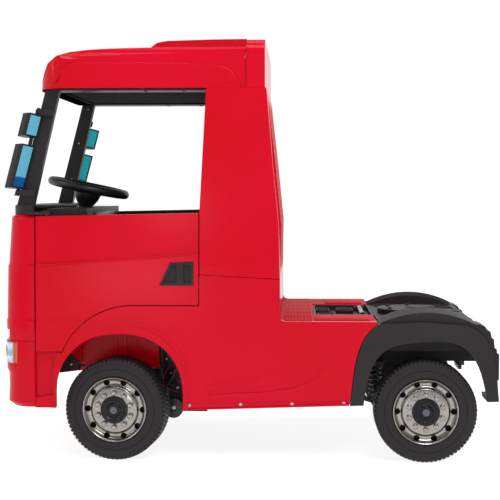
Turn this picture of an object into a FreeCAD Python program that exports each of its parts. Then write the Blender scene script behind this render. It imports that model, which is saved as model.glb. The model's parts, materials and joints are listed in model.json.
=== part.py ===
import FreeCAD, Part
import math
import os

V = FreeCAD.Vector

# A child's battery ride-on lorry: the tractor unit alone, at its real size, in millimetres.
# X points forward, Y to the lorry's left and Z up. The origin is on the floor, under the middle of
# the outline, to a few millimetres. It stands on its four tyres, with the front wheels turned a
# little to the right.

# Outline of the whole toy
BODY_HALF_W = 335.0        # half the width over the doors and skirts
NOSE_X = 665.0             # front face on the centreline
TAIL_X = -661.0            # rear of the tail lamps
BODY_BOTTOM_Z = 142.0      # lower edge of bumper and front leg of the side panel
DECK_Z = 373.5             # top of the red deck behind the cab
BELT_Z = 652.0             # top of the doors and of the nose
EAVES_Z = 984.0            # lower edge of the roof
ROOF_Z = 1096.0            # top of the roof's side
REACH = 1500.0             # past the toy on every side, for cuts that go right through

# Wheels and tyres
WHEEL_R = 135.0
WHEEL_W = 84.0
WHEEL_IN = 13.0            # outer face of each tyre, in from the skirt
WHEEL_FACE_Y = BODY_HALF_W - WHEEL_IN
FRONT_AXLE_X = 340.0
REAR_AXLE_X = -471.0
RIM_R = 87.0               # outside of the bright rim, where the tyre starts
RIM_LIP = 7.0
RIM_DISC_R = 58.0          # flat middle of the rim, which carries the nuts
RIM_DISH = 9.0             # depth of the hollow ring behind the lip
RIM_T = 7.0
HUB_CAP_R = 37.0
HUB_CAP_OUT = 9.0
CAP_SEAT = 8.0             # depth of the cap's seat in the rim
TYRE_RING = 20.0           # raised ring on the sidewall, out from the rim
NUT_COUNT = 10
NUT_CIRCLE_R = 46.5
NUT_R = 6.5
NUT_H = 6.0
HAND_HOLE_CIRCLE_R = 72.5
HAND_HOLE_R = 8.5          # along the circle, and less across it
AXLE_R = 8.0
AXLE_PLAY = 0.1            # running clearance of the wheel bore on its axle
TYRE_SHOULDER = 9.0
TYRE_SIDES = 60            # flats round each tyre
RIM_SIDES = 40
CAP_SIDES = 24

# Front wheel arch, rear wheel arch
ARCH_X = 335.0
ARCH_HALF_W = 169.0
ARCH_TOP_Z = 339.0
ARCH_FLAT = 19.0           # half of the level stretch at its top
ARCH_CORNER_R = ARCH_HALF_W - ARCH_FLAT
ARCH_LIP_W = 20.0
ARCH_LIP_PROUD = 3.0
SWEEP_LINE_Z = 177.0       # curved line along the skirt, hollow above it
SWEEP_DEPTH = 4.0
REAR_ARCH_X = -468.0
REAR_ARCH_HALF_W = 161.0
REAR_ARCH_TOP_Z = 320.0
REAR_ARCH_SHOULDER_Z = 300.0

# Side panels, doors and steps
SIDE_T = 14.0
SIDE_LOW_FRONT_Z = 137.0   # lower edge of the skirt behind the front wheel
SIDE_LOW_REAR_Z = 152.0    # and in front of the rear wheel
SKIRT_FLANGE_H = 22.0
SKIRT_FLANGE_IN = 3.0
DOOR_FRONT_X = 556.0
DOOR_REAR_X = 126.0
DOOR_LOW_Z = 415.0
DOOR_TOE_Z = 291.0
DOOR_SWEEP_X = 300.0       # centre of the arc that carries the door over the wheel
DOOR_SWEEP_Z = 211.0
DOOR_SKIN_T = 12.0
DOOR_LINER_T = 10.0
DOOR_LINER_INSET = 14.0
DOOR_GAP = 2.5
SEAM_GAP = 3.5             # between the door and the front mouldings
SEAM_X = DOOR_FRONT_X + SEAM_GAP
HINGE_BACK = 28.0          # hinge line behind the door's front edge
HINGE_IN = 13.0            # and in from its face
CREASE_FRONT_Z = 523.0     # rising crease along the door
CREASE_REAR_Z = 545.0
CREASE_END_X = 232.0
CREASE_STEP = 3.0          # how far the face sits back above it
CREASE_H = 8.0
LOW_CREASE_Z = 376.0       # level crease at the top of the arch
LOW_CREASE_STEP = 2.0
LOW_CREASE_H = 5.0
LOW_CREASE_END_X = 400.0
BELT_LEAN = 4.0            # how far the door leans in above the rising crease
HANDLE_FRONT_X = 229.0
HANDLE_REAR_X = 139.0
HANDLE_LOW_Z = 467.0
HANDLE_H = 60.0
HANDLE_SLANT = 29.0
HANDLE_DEPTH = 8.0
STEP_SEAM = 2.0            # from the step to the front mouldings
STEP_IN = 8.0              # from the step to the arch
STEP_FRONT_X = SEAM_X - STEP_SEAM
STEP_REAR_X = ARCH_X + ARCH_HALF_W + STEP_IN
STEP_LOW_Z = 168.0
STEP_SLOPE = 8.0
STEP_WALL = 4.0

# Nose, bumper and lamps
NOSE_T = 14.0
NOSE_CORNER_R = 70.0
NOSE_BOW = 17.0            # how far the centre of the front stands ahead of its corners
NOSE_TOP_R = 12.0
NOSE_NOTCH = 6.0           # depth of the level notch over the lamps
NOSE_NOTCH_TOP_Z = 346.0
NOSE_CREASE_IN = 5.0       # set-back of the front at the rising crease
NOSE_BELT_IN = 17.0        # and at the belt
BUMPER_WAIST_Z = 240.0     # the bumper steps back below the lamps
BUMPER_WAIST_IN = 6.0
BUMPER_FOOT_IN = 10.0
NOSE_RING = 52.0           # width of the nose's top ring, under the cowl
BUMPER_TOP_Z = 319.0
BUMPER_SEAM = 1.0
GRILLE_SIDE = 120.0        # from the grille to the side of the nose
GRILLE_HALF_W = BODY_HALF_W - GRILLE_SIDE
GRILLE_LOW_Z = 384.0
GRILLE_TOP_Z = 596.0
GRILLE_SLATS = 5
GRILLE_SLAT_T = 15.0
LAMP_REAR_X = 607.0
LAMP_W = 130.0             # from the side of the nose inwards
LAMP_INNER_Y = BODY_HALF_W - LAMP_W
LAMP_LOW_Z = 259.0
LAMP_TOP_Z = 313.0
LAMP_DEPTH = 20.0
AMBER_W = 12.0             # amber strip at the rear of each headlamp
INTAKE_HALF_W = 150.0
INTAKE_LOW_Z = 172.0
INTAKE_TOP_Z = 246.0

# Windscreen frame: cowl and two leaning pillars
COWL_H = 25.0
COWL_INSET = 8.0
COWL_REAR_X = 536.0
PILLAR_IN = 51.0           # outer face of a pillar, in from the door
PILLAR_Y = BODY_HALF_W - PILLAR_IN
PILLAR_T = 25.0
PILLAR_FOOT_FRONT_X = 616.0
PILLAR_FOOT_W = 45.0
PILLAR_HEAD_FRONT_X = 535.0
PILLAR_HEAD_W = 37.0

# Cab rear: quarter panels and back wall
QUARTER_SEAM_FRONT_Z = 496.0
QUARTER_SEAM_REAR_Z = 484.0
QUARTER_HEAD_FRONT_X = 106.0
CAB_REAR_X = -88.0
CAB_REAR_HEAD_X = -52.0
CAB_KNEE_Z = 627.0         # below this the back of the cab is upright
CAB_BEND_X = -68.0
CAB_BEND_Z = 791.0
LEAN_FROM_Z = 520.0        # above this the cab sides lean in
CAB_LEAN = 15.0            # how far the cab sides lean in at the eaves
QUARTER_T = 16.0
BACK_WALL_T = 14.0
BACK_RIBS = 5
BACK_RIB_W = 26.0
BACK_RIB_H = 6.0
BACK_RIB_SPAN = 440.0

# Roof
ROOF_IN = 16.0             # flank of the roof, in from the door
ROOF_HALF_W = BODY_HALF_W - ROOF_IN
ROOF_T = 8.0
ROOF_FRONT_X = 556.0
ROOF_BROW_X = 505.0
ROOF_CORNER_R = 90.0
ROOF_COLLAR_L = 34.0
ROOF_COLLAR_Z = 1112.0
ROOF_BAND_PROUD = 5.0      # how far the lower flank stands proud
ROOF_BAND_TOP_Z = 1062.0
ROOF_BAND_REAR_X = 5.0
FLANK_REAR_X = 17.0
BULGE_FRONT_X = 270.0
BULGE_HALF_W = 205.0
BULGE_Z = 1124.0
ROOF_FLANGE_T = 8.0
LINING_IN = 73.0
LINING_HALF_W = ROOF_HALF_W - LINING_IN
LINING_FRONT_X = 512.0

# Cab floor tub, seat and controls
TUB_T = 6.0
FOOT_HALF_W = 160.0        # half width of the footwell between the front wheels
FOOT_Z = 225.0             # underside of the footwell
FOOT_NOSE_Z = 257.0        # where its sloping front starts to rise
FOOT_FRONT_X = 528.0
FOOT_BEND_X = 447.0
FOOT_RIB_H = 4.0
SHELF_Z = 349.0            # underside of the tub over the front wheels
SHELF_HALF_W = BODY_HALF_W - QUARTER_T
TUB_FRONT_X = 590.0
TUB_NOTCH_X = 440.0        # ahead of this the tub leaves room for the door linings
TUB_TOE_Y = BODY_HALF_W - 39.0
PEDAL_Y = -70.0
PEDAL_W = 62.0
SEAT_BOX_FRONT_X = 256.0
SEAT_BOX_REAR_X = -72.0
SEAT_BOX_Z = 405.0
SEAT_HALF_W = 205.0
SEAT_CUSHION_T = 46.0
SEAT_BACK_T = 58.0
SEAT_BACK_TOP_Z = 800.0
SEAT_BACK_LEAN_DEG = 8.0
SEAT_BACK_X = 20.0
DASH_REAR_X = 428.0
DASH_LOW_Z = 560.0
DASH_TOP_Z = 668.0
DASH_HALF_W = PILLAR_Y     # the door's front edge swings in past its end
DASH_WALL = 8.0

# Steering wheel and column
STEER_X = 472.0
STEER_Z = 724.0
STEER_TILT_DEG = 11.6
STEER_RIM_R = 106.0
STEER_TUBE_R = 11.5
STEER_HUB_R = 34.0
STEER_HUB_DEPTH = 50.0
COLUMN_R = 7.0
COLUMN_LOW_Z = 240.0
CRANK_L = 40.0
CRANK_PIN_L = 30.0
LINK_T = 6.0
LINK_W = 16.0
TONGUE_LOW_X = 372.0       # the tie rod's tongue steps up ahead of the beam
TONGUE_HIGH_X = 432.0
TONGUE_HALF_W = 14.0
PIN_R = 4.0
PIN_PLAY = 0.4
SLOT_PLAY = 2.4            # the pin leans as the crank turns, so its slot is wide

# Front suspension and knuckles
KINGPIN_IN = 108.0         # kingpin, in from the face of the tyre
KINGPIN_Y = WHEEL_FACE_Y - KINGPIN_IN
KINGPIN_R = 7.0
KINGPIN_HALF_H = 42.0
STEER_REST = -6.0          # the front wheels as they stand, a little to the right
TIE_ARM_L = 74.0
BEAM_HALF_H = 14.0
BEAM_HALF_D = 14.0
SWING_ARM_X = 208.0        # pivot of the trailing arms, behind the front wheels
SWING_ARM_Z = 115.0
SWING_ARM_R = 27.0
SWING_ARM_IN = 146.0       # in from the face of the tyre, as are the drives
SWING_ARM_Y = WHEEL_FACE_Y - SWING_ARM_IN
SWING_ARM_T = 16.0
DRIVE_IN = 134.0
DRIVE_Y = WHEEL_FACE_Y - DRIVE_IN
DRIVE_ARM_T = 14.0
GEARBOX_R = 52.0
GEARBOX_T = 26.0
MOTOR_R = 18.0
MOTOR_L = 46.0

# Springs
SPRING_R = 17.0
SPRING_WIRE_R = 3.0
SPRING_FRONT_Y = KINGPIN_Y - 104.0
SPRING_REAR_Y = WHEEL_FACE_Y - 121.0
SPRING_REAR_X = -345.0
SPRING_SEAT_Z = 245.0      # underside of the ledge over the rear springs
SPRING_SIDES = 12
SPRING_FRONT_TURNS = 5
SPRING_REAR_TURNS = 7

# Chassis
CHASSIS_LOW_Z = 158.0
CHASSIS_T = 8.0
CHASSIS_WALL = 8.0
CHASSIS_FRONT_X = 140.0
SPINE_FRONT_X = 244.0      # the spine reaches on to the footwell
CHASSIS_REAR_X = -268.0
SPINE_HALF_W = BODY_HALF_W - 217.0
GUARD_CLEAR = 6.0          # mudguard's inner wall, in from the tyre
GUARD_INNER_Y = WHEEL_FACE_Y - WHEEL_W - GUARD_CLEAR
TAIL_BOX_HALF_W = GUARD_INNER_Y - 82.0
TAIL_BOX_LOW_Z = 246.0
TAIL_BOX_REAR_X = -641.0
TAIL_BOX_SLOPE = 70.0
BATTERY_PLAY = 15.0        # between the battery and the spine's walls
BATTERY_L = 2.0 * (SPINE_HALF_W - CHASSIS_WALL - BATTERY_PLAY)
BATTERY_REAR_X = -40.0
BATTERY_W = 150.0
BATTERY_H = 100.0

# Rear deck, mudguards and coupling
GUARD_FRONT_X = -344.0     # where the mudguards meet the red deck
GUARD_FOOT_X = -272.0      # and the skirt, at its foot
GUARD_FOOT_Z = 152.0
GUARD_REAR_FOOT_Z = 166.0
GUARD_REAR_FOOT_X = -659.0
GUARD_TOP_Z = 370.0
GUARD_WALL = 8.0           # thickness of its inner wall
GUARD_T = 12.0
GUARD_CROWN_Z = 396.0      # crest of the crown's outer edge
GUARD_CROWN_RISE = 8.0     # and how much higher it is inside
GUARD_CROWN_X = -470.0
GUARD_CROWN_FRONT_X = -347.0
GUARD_CROWN_REAR_X = -599.0
GUARD_CROWN_INSET = 17.0
GUARD_CROWN_EDGE = 14.0    # width of the slope along its inner edge
DECK_T = 8.0
CHANNEL_FRONT_X = -177.0
CHANNEL_HALF_W = 150.0
TRAY_H = 24.0
TRAY_WALL = 8.0
PLATE_REAR_X = -608.0
PLATE_T = 10.0
PLATE_DOWN = 8.0           # top of the coupling plate below the deck
COUPLING_X = -455.0
COUPLING_R = 92.0
COUPLING_T = 14.0
COUPLING_BORE_R = 14.0
TAIL_LAMP_W = 66.0
TAIL_LAMP_H = 34.0
TAIL_LAMP_Z = 240.0
TAIL_BLOCK_LOW_Z = 222.0
TAIL_BLOCK_TOP_Z = 288.0

# Mirrors
MIRROR_W = 66.0
MIRROR_DEPTH = 30.0
MIRROR_POST_R = 5.0
MIRROR_POST_OUT = 13.5
MIRROR_NEAR_TURN_DEG = 15.0   # the left mirror stands folded forward
MIRROR_FAR_TURN_DEG = -41.0   # the right one is turned towards the driver
MIRROR_FAR_SETBACK = 12.0
MIRROR_UPPER_LOW_Z = 855.0
MIRROR_UPPER_H = 59.0
MIRROR_LOWER_LOW_Z = 720.0
MIRROR_LOWER_H = 114.0

os.makedirs("parts", exist_ok=True)


# Plain building blocks: boxes, prisms along each direction, round bars

def box(x0, x1, y0, y1, z0, z1):
    return Part.makeBox(x1 - x0, y1 - y0, z1 - z0, V(x0, y0, z0))


def flat(points):
    return Part.Face(Part.makePolygon(points + [points[0]]))


def prism_y(points, y0, y1):
    face = flat([V(x, y0, z) for x, z in points])
    return face.extrude(V(0, y1 - y0, 0))


def prism_x(points, x0, x1):
    face = flat([V(x0, y, z) for y, z in points])
    return face.extrude(V(x1 - x0, 0, 0))


def prism_z(points, z0, z1):
    face = flat([V(x, y, z0) for x, y in points])
    return face.extrude(V(0, 0, z1 - z0))


def bar_y(x, z, r, y0, y1):
    return Part.makeCylinder(r, y1 - y0, V(x, y0, z), V(0, 1, 0))


def bar_z(x, y, r, z0, z1):
    return Part.makeCylinder(r, z1 - z0, V(x, y, z0), V(0, 0, 1))


def join(shapes):
    whole = shapes[0]
    if len(shapes) > 1:
        whole = whole.fuse(shapes[1:])
    return whole.removeSplitter()


def other_side(shape):
    return shape.mirror(V(0, 0, 0), V(0, 1, 0))


def both(shape):
    return Part.makeCompound([shape, other_side(shape)])


def group(shapes):
    return Part.makeCompound(shapes)


def save(name, shape):
    if shape.ShapeType == "Compound" and len(shape.Solids) == 1:
        shape = shape.Solids[0]
    shape.exportStep("parts/" + name + ".step")


def arc_points(cx, cy, r, a0, a1, n):
    points = []
    for i in range(n + 1):
        a = math.radians(a0 + (a1 - a0) * i / n)
        points.append((cx + r * math.cos(a), cy + r * math.sin(a)))
    return points


# Points along a smooth curve through a few given ones

def through(points, n):
    curve = Part.BSplineCurve()
    curve.interpolate([V(x, z, 0) for x, z in points])
    return [(p.x, p.y) for p in curve.discretize(n)]


# The nose seen from above: a bowed front with round corners, set in from its front and its sides

def nose_wire(front_in, side_in, rear_x, z):
    r = NOSE_CORNER_R - side_in
    cy = BODY_HALF_W - NOSE_CORNER_R
    front = NOSE_X - front_in
    corner = front - NOSE_BOW
    cx = corner - r
    d = r * math.sqrt(0.5)
    p = [V(rear_x, -cy - r, z), V(cx, -cy - r, z), V(corner, -cy, z)]
    q = [V(corner, cy, z), V(cx, cy + r, z), V(rear_x, cy + r, z)]
    edges = [Part.makeLine(p[0], p[1]),
             Part.Arc(p[1], V(cx + d, -cy - d, z), p[2]).toShape(),
             Part.Arc(p[2], V(front, 0, z), q[0]).toShape(),
             Part.Arc(q[0], V(cx + d, cy + d, z), q[1]).toShape(),
             Part.makeLine(q[1], q[2]),
             Part.makeLine(q[2], p[0])]
    return Part.Wire(edges)


def nose_block(inset, rear_x, z0, z1):
    return Part.Face(nose_wire(inset, inset, rear_x, z0)).extrude(V(0, 0, z1 - z0))


def nose_layers(levels, rear_x):
    layers = []
    for (f0, s0, z0), (f1, s1, z1) in zip(levels, levels[1:]):
        if z1 > z0:
            layers.append(Part.makeLoft([nose_wire(f0, s0, rear_x, z0), nose_wire(f1, s1, rear_x, z1)],
                                        True, True))
    return join(layers)


def round_top(shape, r, z, x_min):
    edges = []
    for e in shape.Edges:
        b = e.BoundBox
        if abs(b.ZMin - z) < 0.01 and abs(b.ZMax - z) < 0.01 and b.XMax > x_min + 1.0:
            edges.append(e)
    return shape.makeFillet(r, edges)


# Arch outline of a wheel opening, as a closed shape reaching below the skirts

def arch_points(cx, half_w, top, r, low):
    right = arc_points(cx + half_w - r, top - r, r, 0, 90, 10)
    left = arc_points(cx - half_w + r, top - r, r, 90, 180, 10)
    return [(cx + half_w, low)] + right + left + [(cx - half_w, low)]


# Turned piece about the Y axis, from its half section as (y, radius), with flats round it

def ring(profile, sides):
    faces = []
    for i in range(sides):
        a = 2.0 * math.pi * i / sides
        b = 2.0 * math.pi * (i + 1) / sides
        for (y0, r0), (y1, r1) in zip(profile, profile[1:] + profile[:1]):
            corners = [V(r0 * math.cos(a), y0, r0 * math.sin(a)), V(r1 * math.cos(a), y1, r1 * math.sin(a))]
            if r1 > 0.0:
                corners.append(V(r1 * math.cos(b), y1, r1 * math.sin(b)))
            if r0 > 0.0:
                corners.append(V(r0 * math.cos(b), y0, r0 * math.sin(b)))
            if len(corners) > 2:
                faces.append(flat(corners))
    shell = Part.makeShell(faces)
    shell.sewShape()
    solid = Part.makeSolid(shell)
    if solid.Volume < 0.0:
        solid.reverse()
    return solid.removeSplitter()


# Turn a shape about a vertical line through x, y

def turned(shape, x, y, deg):
    s = shape.copy()
    s.rotate(V(x, y, 0), V(0, 0, 1), deg)
    return s


GAP = 1.0

# NOSE: the upper front moulding, a shell with a ring at the top that carries the cowl
side_mid = LOW_CREASE_STEP
side_high = LOW_CREASE_STEP + CREASE_STEP
nose_levels = [(0.0, 0.0, BUMPER_TOP_Z), (0.0, 0.0, LOW_CREASE_Z - LOW_CREASE_H),
               (2.0, side_mid, LOW_CREASE_Z), (NOSE_CREASE_IN, side_mid, CREASE_FRONT_Z - CREASE_H),
               (NOSE_CREASE_IN + 3.0, side_high, CREASE_FRONT_Z),
               (NOSE_BELT_IN, side_high + BELT_LEAN, BELT_Z)]
nose_outer = nose_layers(nose_levels, SEAM_X)
nose_outer = round_top(nose_outer, NOSE_TOP_R, BELT_Z, SEAM_X)
nose_inner = nose_block(NOSE_BELT_IN + 8.0, SEAM_X - 1.0, LOW_CREASE_Z, BELT_Z - NOSE_T)
nose_inner = nose_inner.fuse(nose_block(NOSE_T, SEAM_X - 1.0, BUMPER_TOP_Z - 1.0, LOW_CREASE_Z + 1.0))
nose_mouth = nose_block(NOSE_RING, SEAM_X - 1.0, BELT_Z - NOSE_T - 1.0, BELT_Z + 1.0)
grille_hole = box(NOSE_X - 80.0, NOSE_X + 5.0, -GRILLE_HALF_W, GRILLE_HALF_W, GRILLE_LOW_Z, GRILLE_TOP_Z)
front_panel = nose_outer.cut([nose_inner, nose_mouth, grille_hole])
notch = nose_block(-5.0, SEAM_X - 1.0, BUMPER_TOP_Z, NOSE_NOTCH_TOP_Z)
notch = notch.cut([nose_block(NOSE_NOTCH, SEAM_X - 2.0, BUMPER_TOP_Z - 1.0, NOSE_NOTCH_TOP_Z + 1.0),
                   box(SEAM_X - 3.0, LAMP_REAR_X + 25.0, -REACH, REACH, BUMPER_TOP_Z - 2.0,
                       NOSE_NOTCH_TOP_Z + 2.0)])
front_panel = front_panel.cut(notch)
save("front_panel", front_panel)

# GRILLE: black insert behind the nose opening, with level slats
g = nose_block(NOSE_CREASE_IN + 9.0, NOSE_X - 70.0, GRILLE_LOW_Z, GRILLE_TOP_Z)
g = g.common(box(NOSE_X - 70.0, NOSE_X, -GRILLE_HALF_W, GRILLE_HALF_W, 0.0, REACH))
g = g.cut(nose_block(NOSE_BELT_IN + 20.0, NOSE_X - 90.0, BUMPER_TOP_Z, BELT_Z))
pitch = (GRILLE_TOP_Z - GRILLE_LOW_Z - 2.0 * GRILLE_SLAT_T) / GRILLE_SLATS
for i in range(GRILLE_SLATS):
    z = GRILLE_LOW_Z + GRILLE_SLAT_T + pitch * i + 5.0
    slot = nose_block(-2.0, NOSE_X - 90.0, z, z + pitch - 10.0)
    slot = slot.cut(nose_block(NOSE_BELT_IN + 12.0, NOSE_X - 95.0, z - 1.0, z + pitch))
    slot = slot.common(box(NOSE_X - 70.0, NOSE_X + 5.0, -GRILLE_HALF_W + 16.0, GRILLE_HALF_W - 16.0,
                           0.0, REACH))
    g = g.cut(slot)
save("grille", g)

# BUMPER: the lower front moulding with lamp pockets and an air opening
bumper_top = BUMPER_TOP_Z - BUMPER_SEAM
bumper_levels = [(BUMPER_FOOT_IN + 8.0, BUMPER_FOOT_IN, BODY_BOTTOM_Z),
                 (BUMPER_FOOT_IN - 6.0, 0.0, BODY_BOTTOM_Z + 12.0),
                 (BUMPER_WAIST_IN, 0.0, BUMPER_WAIST_Z - 45.0),
                 (BUMPER_WAIST_IN - 1.0, 0.0, BUMPER_WAIST_Z - 8.0),
                 (0.0, 0.0, BUMPER_WAIST_Z), (0.0, 0.0, bumper_top)]
bumper = nose_layers(bumper_levels, SEAM_X)
tongue = nose_block(NOSE_T * 0.5, SEAM_X, bumper_top - 5.0, BUMPER_TOP_Z)
bumper = bumper.fuse(tongue)
bumper = bumper.cut(nose_block(BUMPER_FOOT_IN + 10.0, SEAM_X - 1.0, BODY_BOTTOM_Z - 1.0, BUMPER_WAIST_Z))
bumper = bumper.cut(nose_block(NOSE_T, SEAM_X - 1.0, BUMPER_WAIST_Z - 1.0, BUMPER_TOP_Z + 1.0))
pocket = box(LAMP_REAR_X, NOSE_X + 9.0, LAMP_INNER_Y, REACH, LAMP_LOW_Z, LAMP_TOP_Z)
intake = box(NOSE_X - 60.0, NOSE_X + 9.0, -INTAKE_HALF_W, INTAKE_HALF_W, INTAKE_LOW_Z, INTAKE_TOP_Z)
bumper = bumper.cut([pocket, other_side(pocket), intake])
save("bumper", bumper)

# LAMPS: clear blocks that wrap round the corners of the bumper, with an amber strip at the rear
lamp = nose_block(-1.5, SEAM_X, LAMP_LOW_Z, LAMP_TOP_Z).cut(
    nose_block(LAMP_DEPTH, SEAM_X - 1.0, LAMP_LOW_Z - 1.0, LAMP_TOP_Z + 1.0))
lamp = lamp.common(box(LAMP_REAR_X + AMBER_W, NOSE_X + 9.0, LAMP_INNER_Y, REACH, 0.0, REACH))
save("headlamps", both(lamp))
amber = nose_block(-0.5, SEAM_X, LAMP_LOW_Z, LAMP_TOP_Z).cut(
    nose_block(LAMP_DEPTH, SEAM_X - 1.0, LAMP_LOW_Z - 1.0, LAMP_TOP_Z + 1.0))
amber = amber.common(box(LAMP_REAR_X, LAMP_REAR_X + AMBER_W - 0.5, BODY_HALF_W - NOSE_CORNER_R, REACH, 0.0,
                         REACH))
save("turn_lamps", both(amber))

# LOWER SIDE PANEL: skirt, front arch, step and the edge of the deck in one moulding
sweep_r = DOOR_LOW_Z - DOOR_SWEEP_Z
toe_x = DOOR_SWEEP_X + math.sqrt(sweep_r ** 2 - (DOOR_TOE_Z - DOOR_SWEEP_Z) ** 2)
toe_deg = math.degrees(math.atan2(DOOR_TOE_Z - DOOR_SWEEP_Z, toe_x - DOOR_SWEEP_X))
side_r = sweep_r - DOOR_GAP
side_toe = DOOR_TOE_Z - DOOR_GAP
side_toe_x = DOOR_SWEEP_X + math.sqrt(side_r ** 2 - (side_toe - DOOR_SWEEP_Z) ** 2)
side_toe_deg = math.degrees(math.atan2(side_toe - DOOR_SWEEP_Z, side_toe_x - DOOR_SWEEP_X))
guard_edge = through([(GUARD_FOOT_X, GUARD_FOOT_Z), (GUARD_FOOT_X - 7.0, GUARD_FOOT_Z + 51.0),
                      (GUARD_FOOT_X - 18.0, GUARD_TOP_Z - 93.0), (GUARD_FOOT_X - 32.0, GUARD_TOP_Z - 52.0),
                      (GUARD_FOOT_X - 50.0, GUARD_TOP_Z - 23.0), (GUARD_FRONT_X, GUARD_TOP_Z - 4.0)], 15)
side_outline = [(ARCH_X + ARCH_HALF_W, BODY_BOTTOM_Z), (SEAM_X, BODY_BOTTOM_Z), (SEAM_X, side_toe)]
side_outline += arc_points(DOOR_SWEEP_X, DOOR_SWEEP_Z, side_r, side_toe_deg, 90.0, 14)
side_outline += [(DOOR_REAR_X - DOOR_GAP, DOOR_LOW_Z - DOOR_GAP)]
side_outline += [(DOOR_REAR_X - DOOR_GAP, QUARTER_SEAM_FRONT_Z - GAP),
                 (CAB_REAR_X, QUARTER_SEAM_REAR_Z - GAP), (CAB_REAR_X, DECK_Z + 13.0),
                 (CAB_REAR_X - 4.0, DECK_Z + 4.0), (CAB_REAR_X - 13.0, DECK_Z),
                 (GUARD_FRONT_X + 2.0, DECK_Z)]
side_outline += [(x + 2.0, z) for x, z in reversed(guard_edge)]
side_outline += [(ARCH_X - ARCH_HALF_W, SIDE_LOW_FRONT_Z)]
side_outline += list(reversed(arch_points(ARCH_X, ARCH_HALF_W, ARCH_TOP_Z, ARCH_CORNER_R,
                                          BODY_BOTTOM_Z)))[1:-1]
side = prism_y(side_outline, BODY_HALF_W - SIDE_T, BODY_HALF_W)
side_zone = prism_y(side_outline, BODY_HALF_W - SIDE_T, BODY_HALF_W + 2.0 * ARCH_LIP_PROUD)
lip_out = prism_y(arch_points(ARCH_X, ARCH_HALF_W + ARCH_LIP_W * 0.5, ARCH_TOP_Z + ARCH_LIP_W,
                              ARCH_CORNER_R + 10.0, BODY_BOTTOM_Z),
                  BODY_HALF_W - SIDE_T, BODY_HALF_W + ARCH_LIP_PROUD)
lip_in = prism_y(arch_points(ARCH_X, ARCH_HALF_W, ARCH_TOP_Z, ARCH_CORNER_R, BODY_BOTTOM_Z - 1.0),
                 BODY_HALF_W - SIDE_T - 1.0, BODY_HALF_W + ARCH_LIP_PROUD + 1.0)
side = join([side, lip_out.cut(lip_in).common(side_zone)])
lip_soft = prism_y(arch_points(ARCH_X, ARCH_HALF_W + ARCH_LIP_W * 0.5 + 9.0, ARCH_TOP_Z + ARCH_LIP_W + 11.0,
                               ARCH_CORNER_R + 14.0, BODY_BOTTOM_Z),
                   BODY_HALF_W - SIDE_T, BODY_HALF_W + ARCH_LIP_PROUD * 0.45)
lip_soft = lip_soft.common(box(-REACH, STEP_REAR_X, 0.0, REACH, 0.0, REACH))
side = join([side, lip_soft.cut(lip_in).common(side_zone)])
flange = prism_y([(GUARD_FOOT_X + 1.0, SIDE_LOW_REAR_Z - 20.0),
                  (ARCH_X - ARCH_HALF_W - 12.0, SIDE_LOW_FRONT_Z - 20.0),
                  (ARCH_X - ARCH_HALF_W - 12.0, SIDE_LOW_FRONT_Z + SKIRT_FLANGE_H),
                  (GUARD_FOOT_X + 1.0, SIDE_LOW_REAR_Z + SKIRT_FLANGE_H * 0.65)],
                 BODY_HALF_W - SKIRT_FLANGE_IN, BODY_HALF_W + 5.0)
side = side.cut(flange)
hollow_low = SWEEP_LINE_Z
sweep_x = ARCH_X - ARCH_HALF_W - 66.0
sweep = through([(sweep_x, hollow_low), (GUARD_FOOT_X + 242.0, hollow_low + 9.0),
                 (GUARD_FOOT_X + 151.0, hollow_low + 22.0), (GUARD_FOOT_X + 84.0, hollow_low + 54.0),
                 (GUARD_FOOT_X + 44.0, hollow_low + 99.0)], 16)
sweep += [(GUARD_FOOT_X + 72.0, hollow_low + 99.0), (GUARD_FOOT_X + 192.0, hollow_low + 60.0),
          (sweep_x, hollow_low + 30.0)]
wedge = prism_x([(BODY_HALF_W - SWEEP_DEPTH, hollow_low - 10.0), (BODY_HALF_W + 5.0, hollow_low - 10.0),
                 (BODY_HALF_W + 5.0, hollow_low + 110.0), (BODY_HALF_W, hollow_low + 110.0)], -REACH, REACH)
side = side.cut(prism_y(sweep, BODY_HALF_W - 20.0, BODY_HALF_W + 5.0).common(wedge))
step_cut = prism_y([(STEP_REAR_X, STEP_LOW_Z + STEP_SLOPE), (STEP_FRONT_X, STEP_LOW_Z),
                    (STEP_FRONT_X, DOOR_TOE_Z), (STEP_REAR_X - STEP_IN, DOOR_TOE_Z),
                    (STEP_REAR_X, STEP_LOW_Z + 60.0)],
                   BODY_HALF_W - SIDE_T + STEP_WALL, BODY_HALF_W + 5.0)
seam = box(SEAM_X - 1.5, SEAM_X, BODY_HALF_W - 4.0, REACH, 0.0, DOOR_LOW_Z)
side = side.cut([step_cut, seam])
HINGE_X = DOOR_FRONT_X - HINGE_BACK
HINGE_Y = BODY_HALF_W - HINGE_IN
socket = box(HINGE_X - 10.0, HINGE_X + 10.0, HINGE_Y - 9.0, HINGE_Y + 4.0, side_toe - 22.0, side_toe)
side = side.fuse(socket).cut(bar_z(HINGE_X, HINGE_Y, PIN_R + PIN_PLAY, DOOR_TOE_Z - 12.5, DOOR_LOW_Z))
save("side_left", side)
save("side_right", other_side(side))

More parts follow.
